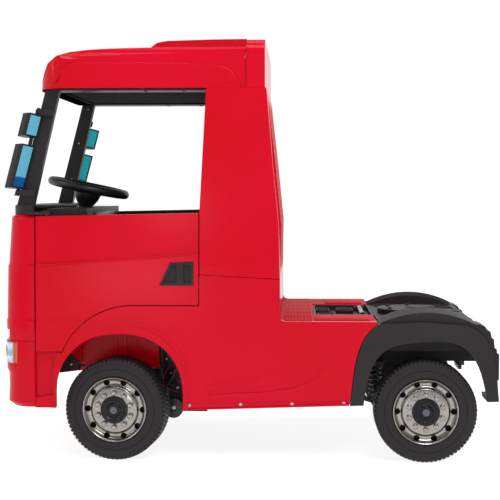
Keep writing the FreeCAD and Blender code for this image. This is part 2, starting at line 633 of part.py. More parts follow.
# DOOR: outer skin with a rising crease and a grip recess, and a black lining inside it
door_outline = [(DOOR_FRONT_X, BELT_Z - 4.0), (DOOR_FRONT_X, DOOR_TOE_Z)]
door_outline += arc_points(DOOR_SWEEP_X, DOOR_SWEEP_Z, sweep_r, toe_deg, 90.0, 14)
door_outline += [(DOOR_REAR_X, DOOR_LOW_Z), (DOOR_REAR_X, BELT_Z + 5.0)]
door_face_low = BODY_HALF_W - DOOR_SKIN_T
skin = prism_y(door_outline, door_face_low - 12.0, BODY_HALF_W)
high = BODY_HALF_W - side_high
belt_y = high - BELT_LEAN
skin_back = prism_x([(0.0, 0.0), (door_face_low, 0.0), (door_face_low, CREASE_FRONT_Z - 40.0),
                     (belt_y - DOOR_SKIN_T, BELT_Z + 8.0), (0.0, BELT_Z + 8.0)],
                    DOOR_REAR_X - 5.0, DOOR_FRONT_X + 5.0)
crease_line = [(DOOR_FRONT_X + 5.0, CREASE_FRONT_Z - CREASE_H), (CREASE_END_X, CREASE_REAR_Z - CREASE_H),
               (CREASE_END_X - 60.0, CREASE_REAR_Z), (DOOR_REAR_X - 5.0, CREASE_REAR_Z + 4.0),
               (DOOR_REAR_X - 5.0, BELT_Z + 9.0), (DOOR_FRONT_X + 5.0, BELT_Z + 9.0)]


def above_crease(lift, y0, y1):
    return prism_y([(x, z + lift) for x, z in crease_line[:4]] + crease_line[4:], y0, y1)


mid = BODY_HALF_W - side_mid
leaning = prism_x([(BODY_HALF_W + 1.0, CREASE_FRONT_Z - 30.0), (high, CREASE_FRONT_Z - 30.0),
                   (high, CREASE_FRONT_Z), (belt_y, BELT_Z + 9.0), (BODY_HALF_W + 1.0, BELT_Z + 9.0)],
                  DOOR_REAR_X - 5.0, DOOR_FRONT_X + 5.0)
cuts = [skin_back, above_crease(CREASE_H, 0.0, REACH).common(leaning)]
for k in (0.25, 0.5, 0.75):
    cuts.append(above_crease(CREASE_H * k, mid - CREASE_STEP * k, BODY_HALF_W + 1.0))
low_line = [(DOOR_FRONT_X + 5.0, LOW_CREASE_Z), (LOW_CREASE_END_X, LOW_CREASE_Z),
            (LOW_CREASE_END_X - 40.0, LOW_CREASE_Z + 4.0), (DOOR_REAR_X - 5.0, LOW_CREASE_Z + 4.0),
            (DOOR_REAR_X - 5.0, BELT_Z + 9.0), (DOOR_FRONT_X + 5.0, BELT_Z + 9.0)]
for k in (0.33, 0.66, 1.0):
    cuts.append(prism_y([(x, z - LOW_CREASE_H * (1.0 - k)) for x, z in low_line],
                        BODY_HALF_W - side_mid * k, BODY_HALF_W + 1.0))
grip_cut = prism_y([(HANDLE_FRONT_X - HANDLE_SLANT, HANDLE_LOW_Z + HANDLE_H),
                    (HANDLE_REAR_X, HANDLE_LOW_Z + HANDLE_H + 3.0), (HANDLE_REAR_X, HANDLE_LOW_Z),
                    (HANDLE_FRONT_X, HANDLE_LOW_Z)],
                   BODY_HALF_W - HANDLE_DEPTH, BODY_HALF_W + 5.0)
skin = skin.cut(cuts + [grip_cut])
pin_low = bar_z(HINGE_X, HINGE_Y, PIN_R, DOOR_TOE_Z - 12.0, DOOR_TOE_Z + 6.0)
pin_top = bar_z(HINGE_X, HINGE_Y, PIN_R, BELT_Z - 12.0, BELT_Z + 11.0)
skin = join([skin, pin_low, pin_top])
save("door_left", skin)
save("door_right", other_side(skin))

liner_in = belt_y - DOOR_SKIN_T - DOOR_LINER_T
inset = DOOR_LINER_INSET
liner_r = sweep_r + inset
liner_toe = DOOR_TOE_Z + inset
liner_toe_x = DOOR_SWEEP_X + math.sqrt(liner_r ** 2 - (liner_toe - DOOR_SWEEP_Z) ** 2)
liner_deg = math.degrees(math.atan2(liner_toe - DOOR_SWEEP_Z, liner_toe_x - DOOR_SWEEP_X))
liner_outline = [(DOOR_FRONT_X - inset, BELT_Z - 6.0), (DOOR_FRONT_X - inset, liner_toe)]
liner_outline += arc_points(DOOR_SWEEP_X, DOOR_SWEEP_Z, liner_r, liner_deg, 90.0, 14)
liner_outline += [(DOOR_REAR_X + inset, DOOR_LOW_Z + inset), (DOOR_REAR_X + inset, BELT_Z + 3.0)]
liner = prism_y(liner_outline, liner_in, BODY_HALF_W)
liner = liner.cut(prism_x([(door_face_low, 0.0), (door_face_low, CREASE_FRONT_Z - 40.0),
                           (belt_y - DOOR_SKIN_T, BELT_Z + 8.0), (REACH, BELT_Z + 8.0), (REACH, 0.0)],
                          DOOR_REAR_X - 5.0, DOOR_FRONT_X + 5.0))
liner = liner.cut(bar_z(HINGE_X, HINGE_Y, PIN_R + 1.0, DOOR_TOE_Z - 20.0, BELT_Z + 20.0))
save("door_liner_left", liner)
save("door_liner_right", other_side(liner))

# DOOR GRIP: black cup set into the outer skin, with an upright bar to hold
grip = prism_y([(HANDLE_FRONT_X - HANDLE_SLANT - 0.5, HANDLE_LOW_Z + HANDLE_H - 0.5),
                (HANDLE_REAR_X + 0.5, HANDLE_LOW_Z + HANDLE_H + 2.0),
                (HANDLE_REAR_X + 0.5, HANDLE_LOW_Z + 0.5), (HANDLE_FRONT_X - 1.0, HANDLE_LOW_Z + 0.5)],
               BODY_HALF_W - HANDLE_DEPTH, BODY_HALF_W + 1.0)
cup = prism_y([(HANDLE_FRONT_X - HANDLE_SLANT - 6.0, HANDLE_LOW_Z + HANDLE_H - 7.0),
               (HANDLE_REAR_X + 44.0, HANDLE_LOW_Z + HANDLE_H - 5.0),
               (HANDLE_REAR_X + 44.0, HANDLE_LOW_Z + 7.0), (HANDLE_FRONT_X - 10.0, HANDLE_LOW_Z + 7.0)],
              BODY_HALF_W - HANDLE_DEPTH + 2.0, BODY_HALF_W + 5.0)
cup_rear = prism_y([(HANDLE_REAR_X + 26.0, HANDLE_LOW_Z + HANDLE_H - 5.0),
                    (HANDLE_REAR_X + 7.0, HANDLE_LOW_Z + HANDLE_H - 5.0),
                    (HANDLE_REAR_X + 7.0, HANDLE_LOW_Z + 7.0), (HANDLE_REAR_X + 26.0, HANDLE_LOW_Z + 7.0)],
                   BODY_HALF_W - HANDLE_DEPTH + 2.0, BODY_HALF_W + 5.0)
grip = grip.cut([cup, cup_rear])
save("door_grip_left", grip)
save("door_grip_right", other_side(grip))

# QUARTER PANEL: leaning upper side panel behind the door
quarter_outline = [(QUARTER_HEAD_FRONT_X, EAVES_Z), (CAB_REAR_HEAD_X, EAVES_Z),
                   (CAB_BEND_X, CAB_BEND_Z), (CAB_REAR_X + 4.0, CAB_KNEE_Z),
                   (CAB_REAR_X, QUARTER_SEAM_REAR_Z), (DOOR_REAR_X - DOOR_GAP, QUARTER_SEAM_FRONT_Z),
                   (DOOR_REAR_X - DOOR_GAP, BELT_Z + 5.0)]
quarter = prism_y(quarter_outline, 0.0, REACH)
quarter = quarter.common(prism_x([(BODY_HALF_W, 0.0), (BODY_HALF_W, LEAN_FROM_Z),
                                  (BODY_HALF_W - CAB_LEAN, EAVES_Z),
                                  (BODY_HALF_W - CAB_LEAN - QUARTER_T, EAVES_Z),
                                  (BODY_HALF_W - QUARTER_T, LEAN_FROM_Z), (BODY_HALF_W - QUARTER_T, 0.0)],
                                 -REACH, REACH))
save("quarter_left", quarter)
save("quarter_right", other_side(quarter))

# BACK WALL of the cab, following the bent rear edge
back_y = BODY_HALF_W - QUARTER_T
back_line = [(CAB_REAR_X, DECK_Z), (CAB_REAR_X, QUARTER_SEAM_REAR_Z), (CAB_REAR_X + 4.0, CAB_KNEE_Z),
             (CAB_BEND_X, CAB_BEND_Z), (CAB_REAR_HEAD_X, EAVES_Z)]
back_outline = back_line + [(x + BACK_WALL_T, z) for x, z in reversed(back_line)]
back_section = [(back_y, 0.0), (back_y, LEAN_FROM_Z), (back_y - CAB_LEAN, EAVES_Z)]
back_section += [(-y, z) for y, z in reversed(back_section)]
back_wall = prism_y(back_outline, -back_y, back_y).common(prism_x(back_section, -REACH, REACH))
rib_line = back_line[1:] + [(x - BACK_RIB_H, z) for x, z in reversed(back_line[2:-1])]
for n in range(BACK_RIBS):
    y = BACK_RIB_SPAN * (n / (BACK_RIBS - 1.0) - 0.5)
    back_wall = back_wall.fuse(prism_y(rib_line, y - BACK_RIB_W * 0.5, y + BACK_RIB_W * 0.5))
back_wall = back_wall.removeSplitter()
save("back_wall", back_wall)

# ROOF: one hollow moulding with a brow, a raised middle and a collar round its rear
roof_line = [(ROOF_FRONT_X, EAVES_Z), (ROOF_FRONT_X - 1.0, EAVES_Z + 8.0),
             (ROOF_FRONT_X - 13.0, EAVES_Z + 39.0),
             (ROOF_BROW_X + 24.0, ROOF_Z - 45.0), (ROOF_BROW_X - 4.0, ROOF_Z - 26.0)]
roof_line += through([(ROOF_BROW_X - 39.0, ROOF_Z - 16.0), (ROOF_BROW_X - 96.0, ROOF_Z - 9.0),
                      (ROOF_BROW_X - 182.0, ROOF_Z - 5.0), (ROOF_BROW_X - 315.0, ROOF_Z)], 6)
roof_line += [(0.0, ROOF_Z), (CAB_REAR_HEAD_X + 8.0, ROOF_Z), (CAB_REAR_HEAD_X + 6.0, EAVES_Z)]


def roof_block(inset, low):
    side_line = prism_y([(x - inset * 1.2 if x > 0 else x + inset, max(z - inset, low))
                         for x, z in roof_line if z == EAVES_Z or z - inset > low], -REACH, REACH)
    w = ROOF_HALF_W - ROOF_BAND_PROUD - inset
    top = ROOF_Z - inset
    section = [(w, low - 1.0), (w, ROOF_Z - 36.0), (w - 5.0, ROOF_Z - 27.0),
               (w - 9.0, ROOF_Z - 19.0 - inset * 0.4)]
    section += [(w - 16.0, top - 10.0), (w - 27.0, top - 3.0), (w - 44.0, top)]
    section += [(-y, z) for y, z in reversed(section)]
    return side_line.common(prism_x(section, -REACH, REACH)).common(roof_plan(w, inset))


def roof_plan(w, inset):
    cx = ROOF_FRONT_X - inset - ROOF_CORNER_R
    plan = [(-REACH, -w), (cx - 30.0, -w)]
    plan += arc_points(cx, -w + ROOF_CORNER_R, ROOF_CORNER_R, -85.0, -22.0, 8)
    plan += [(ROOF_FRONT_X - inset + 6.0, 0.0)]
    plan += [(x, -y) for x, y in reversed(plan[:-1])]
    return prism_z(plan, 0.0, REACH)


roof = roof_block(0.0, EAVES_Z)
flank_line = [(ROOF_FRONT_X + 9.0, EAVES_Z)]
flank_line += through([(ROOF_FRONT_X - 49.0, EAVES_Z + 17.0), (ROOF_FRONT_X - 64.0, EAVES_Z + 40.0),
                       (ROOF_FRONT_X - 83.0, EAVES_Z + 56.0), (ROOF_FRONT_X - 111.0, EAVES_Z + 64.0)], 6)
flank_line += [(ROOF_FRONT_X - 191.0, EAVES_Z + 65.0), (ROOF_FRONT_X - 379.0, EAVES_Z + 63.0)]
flank_line += through([(FLANK_REAR_X + 53.0, EAVES_Z + 58.0), (FLANK_REAR_X + 20.0, EAVES_Z + 40.0),
                       (FLANK_REAR_X + 4.0, EAVES_Z + 19.0), (FLANK_REAR_X, EAVES_Z)], 6)
band_line = [(ROOF_FRONT_X + 9.0, EAVES_Z)]
band_line += through([(ROOF_FRONT_X - 63.0, EAVES_Z + 31.0), (ROOF_FRONT_X - 82.0, EAVES_Z + 58.0),
                      (ROOF_FRONT_X - 115.0, ROOF_BAND_TOP_Z - 1.0)], 5)
band_line += [(ROOF_FRONT_X - 238.0, ROOF_BAND_TOP_Z + 10.0), (ROOF_FRONT_X - 369.0, ROOF_BAND_TOP_Z + 13.0),
              (ROOF_BAND_REAR_X, ROOF_BAND_TOP_Z + 17.0), (ROOF_BAND_REAR_X, EAVES_Z)]
for line, w in ((flank_line, ROOF_HALF_W), (band_line, ROOF_HALF_W - ROOF_BAND_PROUD * 0.5)):
    band = prism_y(line, -REACH, REACH).common(prism_y(roof_line, -REACH, REACH))
    roof = roof.fuse(band.common(roof_plan(w, 0.0)))
inside = roof_block(ROOF_T, EAVES_Z + ROOF_FLANGE_T).common(box(-REACH, REACH, -REACH, REACH,
                                                                  EAVES_Z + ROOF_FLANGE_T, REACH))
mouth = prism_z([(CAB_REAR_HEAD_X + 24.0, -LINING_HALF_W), (LINING_FRONT_X - 50.0, -LINING_HALF_W),
                 (LINING_FRONT_X - 8.0, -LINING_HALF_W + 34.0), (LINING_FRONT_X + 8.0, 0.0),
                 (LINING_FRONT_X - 8.0, LINING_HALF_W - 34.0), (LINING_FRONT_X - 50.0, LINING_HALF_W),
                 (CAB_REAR_HEAD_X + 24.0, LINING_HALF_W)], EAVES_Z - 1.0, EAVES_Z + ROOF_FLANGE_T + 1.0)
roof = roof.cut([inside, mouth])
bulge_line = [(BULGE_FRONT_X, ROOF_Z - 6.0), (BULGE_FRONT_X - 8.0, BULGE_Z - 20.0),
              (BULGE_FRONT_X - 23.0, BULGE_Z - 9.0), (BULGE_FRONT_X - 52.0, BULGE_Z - 4.0),
              (100.0, BULGE_Z - 1.0), (4.0, BULGE_Z), (4.0, ROOF_Z - 6.0)]
bulge = prism_y(bulge_line, -BULGE_HALF_W, BULGE_HALF_W)
bulge = bulge.cut(prism_y([(x - 8.0 if x > 50 else x + 6.0, z - 7.0) for x, z in bulge_line],
                          -BULGE_HALF_W + 8.0, BULGE_HALF_W - 8.0))
collar_w = ROOF_HALF_W + 1.0
collar_out = [(collar_w, EAVES_Z), (collar_w, ROOF_BAND_TOP_Z)]
collar_out += arc_points(collar_w - 40.0, ROOF_COLLAR_Z - 40.0, 40.0, 0.0, 90.0, 8)
collar_out += [(-y, z) for y, z in reversed(collar_out)]
collar_in = [(y * 0.955, z - 14.0) for y, z in collar_out]
collar = prism_x(collar_out, CAB_REAR_HEAD_X + 4.0, CAB_REAR_HEAD_X + 4.0 + ROOF_COLLAR_L + 14.0)
collar = collar.cut(prism_x(collar_in, CAB_REAR_HEAD_X + 14.0, REACH))
roof = join([roof, bulge, collar])
save("roof", roof)

lining = mouth.common(box(-REACH, REACH, -REACH, REACH, EAVES_Z, EAVES_Z + ROOF_FLANGE_T))
save("roof_lining", lining)

# WINDSCREEN FRAME: black cowl on the nose with two pillars that lean back to the roof
cowl_low = BELT_Z
cowl_top = cowl_low + COWL_H
cowl = nose_block(COWL_INSET + NOSE_BELT_IN, COWL_REAR_X, cowl_low, cowl_top)
cowl = cowl.cut(nose_block(COWL_INSET + NOSE_BELT_IN + 12.0, COWL_REAR_X - 1.0, cowl_low - 1.0,
                           cowl_top - 7.0))
door_room = box(0.0, DOOR_FRONT_X + 10.0, DASH_HALF_W, REACH, 0.0, REACH)
cowl = cowl.cut([door_room, other_side(door_room)])
pillar = prism_y([(PILLAR_FOOT_FRONT_X, cowl_top - 5.0), (PILLAR_HEAD_FRONT_X, EAVES_Z),
                  (PILLAR_HEAD_FRONT_X - PILLAR_HEAD_W, EAVES_Z),
                  (PILLAR_FOOT_FRONT_X - PILLAR_FOOT_W, cowl_top - 5.0)], PILLAR_Y - PILLAR_T, PILLAR_Y)
lug = box(HINGE_X - 10.0, DOOR_FRONT_X + 22.0, HINGE_Y - 9.0, HINGE_Y + 8.0, cowl_low, cowl_low + 8.0)
lug = lug.fuse(box(DOOR_FRONT_X + 8.0, DOOR_FRONT_X + 22.0, HINGE_Y - 30.0, HINGE_Y, cowl_low, cowl_top))
lug = lug.cut(bar_z(HINGE_X, HINGE_Y, PIN_R + PIN_PLAY, cowl_low - 1.0, cowl_low + 40.0))
frame = join([cowl, pillar, other_side(pillar), lug, other_side(lug)])
save("windscreen_frame", frame)

# DASHBOARD: hollow box below the cowl, open underneath, with a hole for the steering rod
tilt = math.radians(STEER_TILT_DEG)
rod_dir = V(math.sin(tilt), 0, -math.cos(tilt))
rod_top = V(STEER_X, 0, STEER_Z)


def rod_at(z):
    return rod_top + rod_dir * ((STEER_Z - z) / math.cos(tilt))


def rod_piece(r, z0, z1):
    a = rod_at(z1)
    b = rod_at(z0)
    return Part.makeCylinder(r, (b - a).Length, a, rod_dir)


dash = box(DASH_REAR_X, COWL_REAR_X, -DASH_HALF_W, DASH_HALF_W, DASH_LOW_Z, DASH_TOP_Z)
dash = dash.cut(box(DASH_REAR_X + DASH_WALL, COWL_REAR_X, -DASH_HALF_W + DASH_WALL, DASH_HALF_W - DASH_WALL,
                    DASH_LOW_Z - 1.0, DASH_TOP_Z - DASH_WALL))
dash = dash.cut(rod_piece(COLUMN_R + PIN_PLAY, DASH_LOW_Z - 60.0, STEER_Z - 4.0))
save("dashboard", dash)

# CAB TUB: floor with a deep footwell between the front wheels and a box under the seat
shelf_top = SHELF_Z + TUB_T
front_plan = [(SEAT_BOX_REAR_X, -SHELF_HALF_W), (TUB_NOTCH_X, -SHELF_HALF_W),
              (TUB_NOTCH_X, -TUB_TOE_Y - 4.0), (TUB_NOTCH_X + 60.0, -TUB_TOE_Y), (TUB_FRONT_X, -TUB_TOE_Y)]
front_plan += [(x, -y) for x, y in reversed(front_plan)]
tub = prism_z(front_plan, SHELF_Z, shelf_top)
well_line = [(SEAT_BOX_FRONT_X - TUB_T, shelf_top), (SEAT_BOX_FRONT_X - TUB_T, FOOT_Z),
             (FOOT_BEND_X, FOOT_Z), (FOOT_FRONT_X - 37.0, FOOT_NOSE_Z),
             (FOOT_FRONT_X - 16.0, FOOT_NOSE_Z + 40.0), (FOOT_FRONT_X, SHELF_Z), (FOOT_FRONT_X, shelf_top)]
well = prism_y(well_line, -FOOT_HALF_W, FOOT_HALF_W)
for back in (75.0, 102.0, 131.0, -23.0):
    x = FOOT_BEND_X - back
    well = well.fuse(box(x - 5.0, x + 5.0, -FOOT_HALF_W - FOOT_RIB_H, FOOT_HALF_W + FOOT_RIB_H, FOOT_Z + 6.0,
                         SHELF_Z + 1.0).common(prism_y(well_line, -REACH, REACH)))
seat_box = box(SEAT_BOX_REAR_X, SEAT_BOX_FRONT_X, -SEAT_HALF_W - 20.0, SEAT_HALF_W + 20.0, SHELF_Z,
               SEAT_BOX_Z)
fire_wall = box(TUB_FRONT_X - TUB_T, TUB_FRONT_X, -TUB_TOE_Y + 16.0, TUB_TOE_Y - 16.0, SHELF_Z,
                BELT_Z - 60.0)
tub = join([tub, well, seat_box, fire_wall])
tub = tub.cut(prism_y([(SEAT_BOX_FRONT_X, shelf_top + 1.0), (SEAT_BOX_FRONT_X, FOOT_Z + TUB_T),
                       (FOOT_BEND_X - 2.0, FOOT_Z + TUB_T), (FOOT_FRONT_X - 43.0, FOOT_NOSE_Z + TUB_T),
                       (FOOT_FRONT_X - 22.0, FOOT_NOSE_Z + 40.0), (FOOT_FRONT_X - TUB_T, SHELF_Z),
                       (FOOT_FRONT_X - TUB_T, shelf_top + 1.0)],
                      -FOOT_HALF_W + TUB_T, FOOT_HALF_W - TUB_T))
tub = tub.cut(box(SEAT_BOX_REAR_X + TUB_T, SEAT_BOX_FRONT_X - TUB_T, -SEAT_HALF_W - 14.0,
                  SEAT_HALF_W + 14.0, SHELF_Z - 1.0, SEAT_BOX_Z - TUB_T))
tub = tub.cut(rod_piece(COLUMN_R + PIN_PLAY, SHELF_Z - 50.0, SHELF_Z + 70.0))
save("cab_tub", tub)

# PEDAL: a ribbed foot plate that leans on the sloping front of the footwell
pedal = prism_y([(FOOT_BEND_X - 14.0, FOOT_Z + TUB_T), (FOOT_BEND_X + 3.0, FOOT_Z + TUB_T + 3.0),
                 (FOOT_BEND_X + 42.0, FOOT_Z + 78.0), (FOOT_BEND_X + 30.0, FOOT_Z + 84.0),
                 (FOOT_BEND_X - 16.0, FOOT_Z + TUB_T + 9.0)], PEDAL_Y - PEDAL_W * 0.5,
                PEDAL_Y + PEDAL_W * 0.5)
save("pedal", pedal.cut(tub))

# SEAT: plain cushions for a child, on the box and against the back wall
seat = box(SEAT_BACK_X + 42.0, SEAT_BOX_FRONT_X - 8.0, -SEAT_HALF_W, SEAT_HALF_W, SEAT_BOX_Z + 0.3,
           SEAT_BOX_Z + SEAT_CUSHION_T)
save("seat_base", seat)
lean_x = math.tan(math.radians(SEAT_BACK_LEAN_DEG)) * (SEAT_BACK_TOP_Z - SEAT_BOX_Z)
back = prism_y([(SEAT_BACK_X + 40.0, SEAT_BOX_Z + 0.3), (SEAT_BACK_X + 40.0 - lean_x, SEAT_BACK_TOP_Z),
                (SEAT_BACK_X + 40.0 - lean_x - SEAT_BACK_T * 0.7, SEAT_BACK_TOP_Z),
                (SEAT_BACK_X + 40.0 - SEAT_BACK_T, SEAT_BOX_Z + 0.3)], -SEAT_HALF_W, SEAT_HALF_W)
save("seat_back", back)

# STEERING WHEEL on its long rod, with a crank at the foot of the rod
wheel = ring([(STEER_TUBE_R * math.sin(math.radians(d)),
               STEER_RIM_R + STEER_TUBE_R * math.cos(math.radians(d)))
              for d in range(0, 360, 45)], 36)
wheel.rotate(V(0, 0, 0), V(1, 0, 0), 90)
wheel.rotate(V(0, 0, 0), V(0, 1, 0), -STEER_TILT_DEG)
wheel.translate(rod_top)
hub = Part.makeCone(STEER_HUB_R, STEER_HUB_R * 0.6, STEER_HUB_DEPTH, rod_top + rod_dir * 2.0, rod_dir)
spokes = []
for deg in (90.0, 210.0, 330.0):
    s = Part.makeBox(STEER_RIM_R, 26.0, 9.0, V(0, -13.0, -22.0))
    s.rotate(V(0, 0, 0), V(0, 1, 0), -10.0)
    s.rotate(V(0, 0, 0), V(0, 0, 1), deg + 2.0 * STEER_REST)
    s.rotate(V(0, 0, 0), V(0, 1, 0), -STEER_TILT_DEG)
    s.translate(rod_top)
    spokes.append(s)
wheel = join([wheel, hub] + spokes)
save("steering_wheel", wheel)
rod = rod_piece(COLUMN_R, COLUMN_LOW_Z, STEER_Z - STEER_HUB_DEPTH - 1.0)
foot = rod_at(COLUMN_LOW_Z)
crank = Part.makeBox(CRANK_L + LINK_W, LINK_W, LINK_T, V(-CRANK_L - LINK_W * 0.5, -LINK_W * 0.5,
                                                         -LINK_T * 0.5))
crank = crank.fuse(Part.makeCylinder(PIN_R, CRANK_PIN_L, V(-CRANK_L, 0, -CRANK_PIN_L)))
crank.rotate(V(0, 0, 0), V(0, 0, 1), 2.0 * STEER_REST)
crank.rotate(V(0, 0, 0), V(0, 1, 0), -STEER_TILT_DEG)
crank.translate(foot)
save("steering_rod", join([rod, crank]))

# FRONT BEAM: cross beam with forked ends, kingpins and two swing arms to the pivot rod
wheel_z = WHEEL_R
fork_y = KINGPIN_Y
beam = box(FRONT_AXLE_X - BEAM_HALF_D, FRONT_AXLE_X + BEAM_HALF_D, -fork_y + 22.0, fork_y - 22.0,
           wheel_z - BEAM_HALF_H, wheel_z + BEAM_HALF_H)
forks = []
for s in (-1.0, 1.0):
    ya = min(s * (fork_y - 34.0), s * (fork_y - 22.0))
    post = box(FRONT_AXLE_X - BEAM_HALF_D, FRONT_AXLE_X + BEAM_HALF_D, ya, ya + 12.0,
               wheel_z - KINGPIN_HALF_H, wheel_z + KINGPIN_HALF_H)
    yb = min(s * (fork_y - 34.0), s * (fork_y + 12.0))
    for z in (wheel_z - KINGPIN_HALF_H, wheel_z + KINGPIN_HALF_H - 8.0):
        forks.append(box(FRONT_AXLE_X - BEAM_HALF_D, FRONT_AXLE_X + BEAM_HALF_D, yb, yb + 46.0, z, z + 8.0))
    forks.append(post)
    forks.append(bar_z(FRONT_AXLE_X, s * fork_y, KINGPIN_R, wheel_z - KINGPIN_HALF_H - 3.0,
                       wheel_z + KINGPIN_HALF_H + 3.0))
    yc = min(s * (SWING_ARM_Y - SWING_ARM_T * 0.5), s * (SWING_ARM_Y + SWING_ARM_T * 0.5))
    arm = prism_y([(SWING_ARM_X, SWING_ARM_Z + 18.0), (SWING_ARM_X, SWING_ARM_Z - 18.0),
                   (FRONT_AXLE_X, wheel_z - BEAM_HALF_H), (FRONT_AXLE_X, wheel_z + BEAM_HALF_H)],
                  yc, yc + SWING_ARM_T)
    forks.append(arm)
    forks.append(bar_y(SWING_ARM_X, SWING_ARM_Z, SWING_ARM_R, yc, yc + SWING_ARM_T))
beam = join([beam] + forks)
beam = beam.cut(bar_y(SWING_ARM_X, SWING_ARM_Z, AXLE_R, -REACH, REACH))
save("front_beam", beam)

# KNUCKLES: barrel on the kingpin, stub axle and steering arm, left one and right one
arm_z = wheel_z + 24.0
link_z = arm_z + LINK_T + 0.5


def knuckle(s):
    barrel = bar_z(FRONT_AXLE_X, s * fork_y, 13.0, wheel_z - KINGPIN_HALF_H + 8.4,
                   wheel_z + KINGPIN_HALF_H - 8.4)
    y0 = min(s * (fork_y + 6.0), s * (WHEEL_FACE_Y - 8.0))
    y1 = max(s * (fork_y + 6.0), s * (WHEEL_FACE_Y - 8.0))
    stub = bar_y(FRONT_AXLE_X, wheel_z, AXLE_R, y0, y1)
    arm = box(FRONT_AXLE_X - TIE_ARM_L, FRONT_AXLE_X, s * fork_y - LINK_W * 0.5, s * fork_y + LINK_W * 0.5,
              arm_z - LINK_T * 0.5, arm_z + LINK_T * 0.5)
    arm = arm.fuse(bar_z(FRONT_AXLE_X - TIE_ARM_L, s * fork_y, LINK_W * 0.5, arm_z - LINK_T * 0.5,
                         arm_z + LINK_T * 0.5))
    pin = bar_z(FRONT_AXLE_X - TIE_ARM_L, s * fork_y, PIN_R, arm_z, link_z + LINK_T * 0.5 + 2.0)
    k = join([barrel, stub, arm, pin])
    k = k.cut(bar_z(FRONT_AXLE_X, s * fork_y, KINGPIN_R + AXLE_PLAY, 0.0, REACH))
    return turned(k, FRONT_AXLE_X, s * fork_y, STEER_REST)


save("knuckle_left", knuckle(1.0))
save("knuckle_right", knuckle(-1.0))

# TIE ROD: flat bar between the steering arms, its tongue stepped up to a slot for the crank pin
rest = math.radians(STEER_REST)
tie_x = FRONT_AXLE_X - TIE_ARM_L * math.cos(rest)
tie_dy = -TIE_ARM_L * math.sin(rest)
tie_low = link_z - LINK_T * 0.5
tie_high = link_z + LINK_T * 0.5
tie = box(tie_x - LINK_W * 0.5, tie_x + LINK_W * 0.5, tie_dy - fork_y, tie_dy + fork_y, tie_low, tie_high)
for y in (-fork_y, fork_y):
    tie = tie.fuse(bar_z(tie_x, tie_dy + y, LINK_W * 0.5, tie_low, tie_high))
pin_x = foot.x - CRANK_L * math.cos(tilt)
pin_low = foot.z - CRANK_L * math.sin(tilt) - CRANK_PIN_L * math.cos(tilt)
plate_low = pin_low + 1.0
plate_high = plate_low + LINK_T
tongue = prism_y([(tie_x, tie_low), (TONGUE_LOW_X, tie_low), (TONGUE_HIGH_X, plate_low),
                  (pin_x + 34.0, plate_low), (pin_x + 34.0, plate_high), (TONGUE_HIGH_X - 4.0, plate_high),
                  (TONGUE_LOW_X - 4.0, tie_high), (tie_x, tie_high)], tie_dy - TONGUE_HALF_W, tie_dy + TONGUE_HALF_W)
tie = join([tie, tongue])
for y in (-fork_y, fork_y):
    tie = tie.cut(bar_z(tie_x, tie_dy + y, PIN_R + PIN_PLAY * 0.5, 0.0, REACH))
slot = box(pin_x - 30.0, pin_x + 26.0, tie_dy - PIN_R - SLOT_PLAY, tie_dy + PIN_R + SLOT_PLAY, 0.0, REACH)
tie = tie.cut(slot)
save("tie_rod", tie)

# REAR AXLE with two gear housings, motors, arms and the pivot rod of the front arms
axle_end = WHEEL_FACE_Y - 8.0
save("rear_axle", bar_y(REAR_AXLE_X, wheel_z, AXLE_R, -axle_end, axle_end))
rod_end = SWING_ARM_Y - SWING_ARM_T * 0.25
save("pivot_rod", bar_y(SWING_ARM_X, SWING_ARM_Z, AXLE_R - AXLE_PLAY, -rod_end, rod_end))
spring_low = wheel_z + BEAM_HALF_H
drive_arm = prism_y([(REAR_AXLE_X, wheel_z - BEAM_HALF_H), (REAR_AXLE_X, spring_low),
                     (SPRING_REAR_X + SPRING_R, spring_low), (CHASSIS_REAR_X - 16.0, CHASSIS_LOW_Z + 40.0),
                     (CHASSIS_REAR_X, CHASSIS_LOW_Z + 40.0), (CHASSIS_REAR_X, CHASSIS_LOW_Z),
                     (SPRING_REAR_X + SPRING_R, spring_low - 8.0)], DRIVE_Y + 6.0,
                    DRIVE_Y + 6.0 + DRIVE_ARM_T)
drive = bar_y(REAR_AXLE_X, wheel_z, GEARBOX_R, DRIVE_Y, DRIVE_Y + GEARBOX_T)
drive = drive.fuse([bar_y(REAR_AXLE_X + 28.0, wheel_z + 22.0, MOTOR_R, DRIVE_Y - MOTOR_L, DRIVE_Y + 2.0),
                    drive_arm])
drive = drive.cut(bar_y(REAR_AXLE_X, wheel_z, AXLE_R + AXLE_PLAY, 0.0, REACH))
drive = drive.removeSplitter()
save("rear_drives", both(drive))

# SPRINGS: four springs round guide rods, two over the front beam and two over the rear arms
def spring_at(x, y, z0, z1, turns):
    pitch = (z1 - z0) / turns
    profile = [(z0, 0.0)]
    for i in range(turns):
        z = z0 + pitch * i
        profile += [(z, SPRING_R - 2.0 * SPRING_WIRE_R), (z + pitch * 0.25, SPRING_R),
                    (z + pitch * 0.5, SPRING_R)]
    profile += [(z1, SPRING_R - 2.0 * SPRING_WIRE_R), (z1, 0.0)]
    spring = ring(profile, SPRING_SIDES)
    spring.rotate(V(0, 0, 0), V(1, 0, 0), 90)
    spring.translate(V(x, y, 0))
    return spring


springs = []
for s in (-1.0, 1.0):
    springs.append(spring_at(FRONT_AXLE_X, s * SPRING_FRONT_Y, spring_low, FOOT_Z, SPRING_FRONT_TURNS))
    springs.append(spring_at(SPRING_REAR_X, s * SPRING_REAR_Y, spring_low, SPRING_SEAT_Z, SPRING_REAR_TURNS))
save("springs", group(springs))

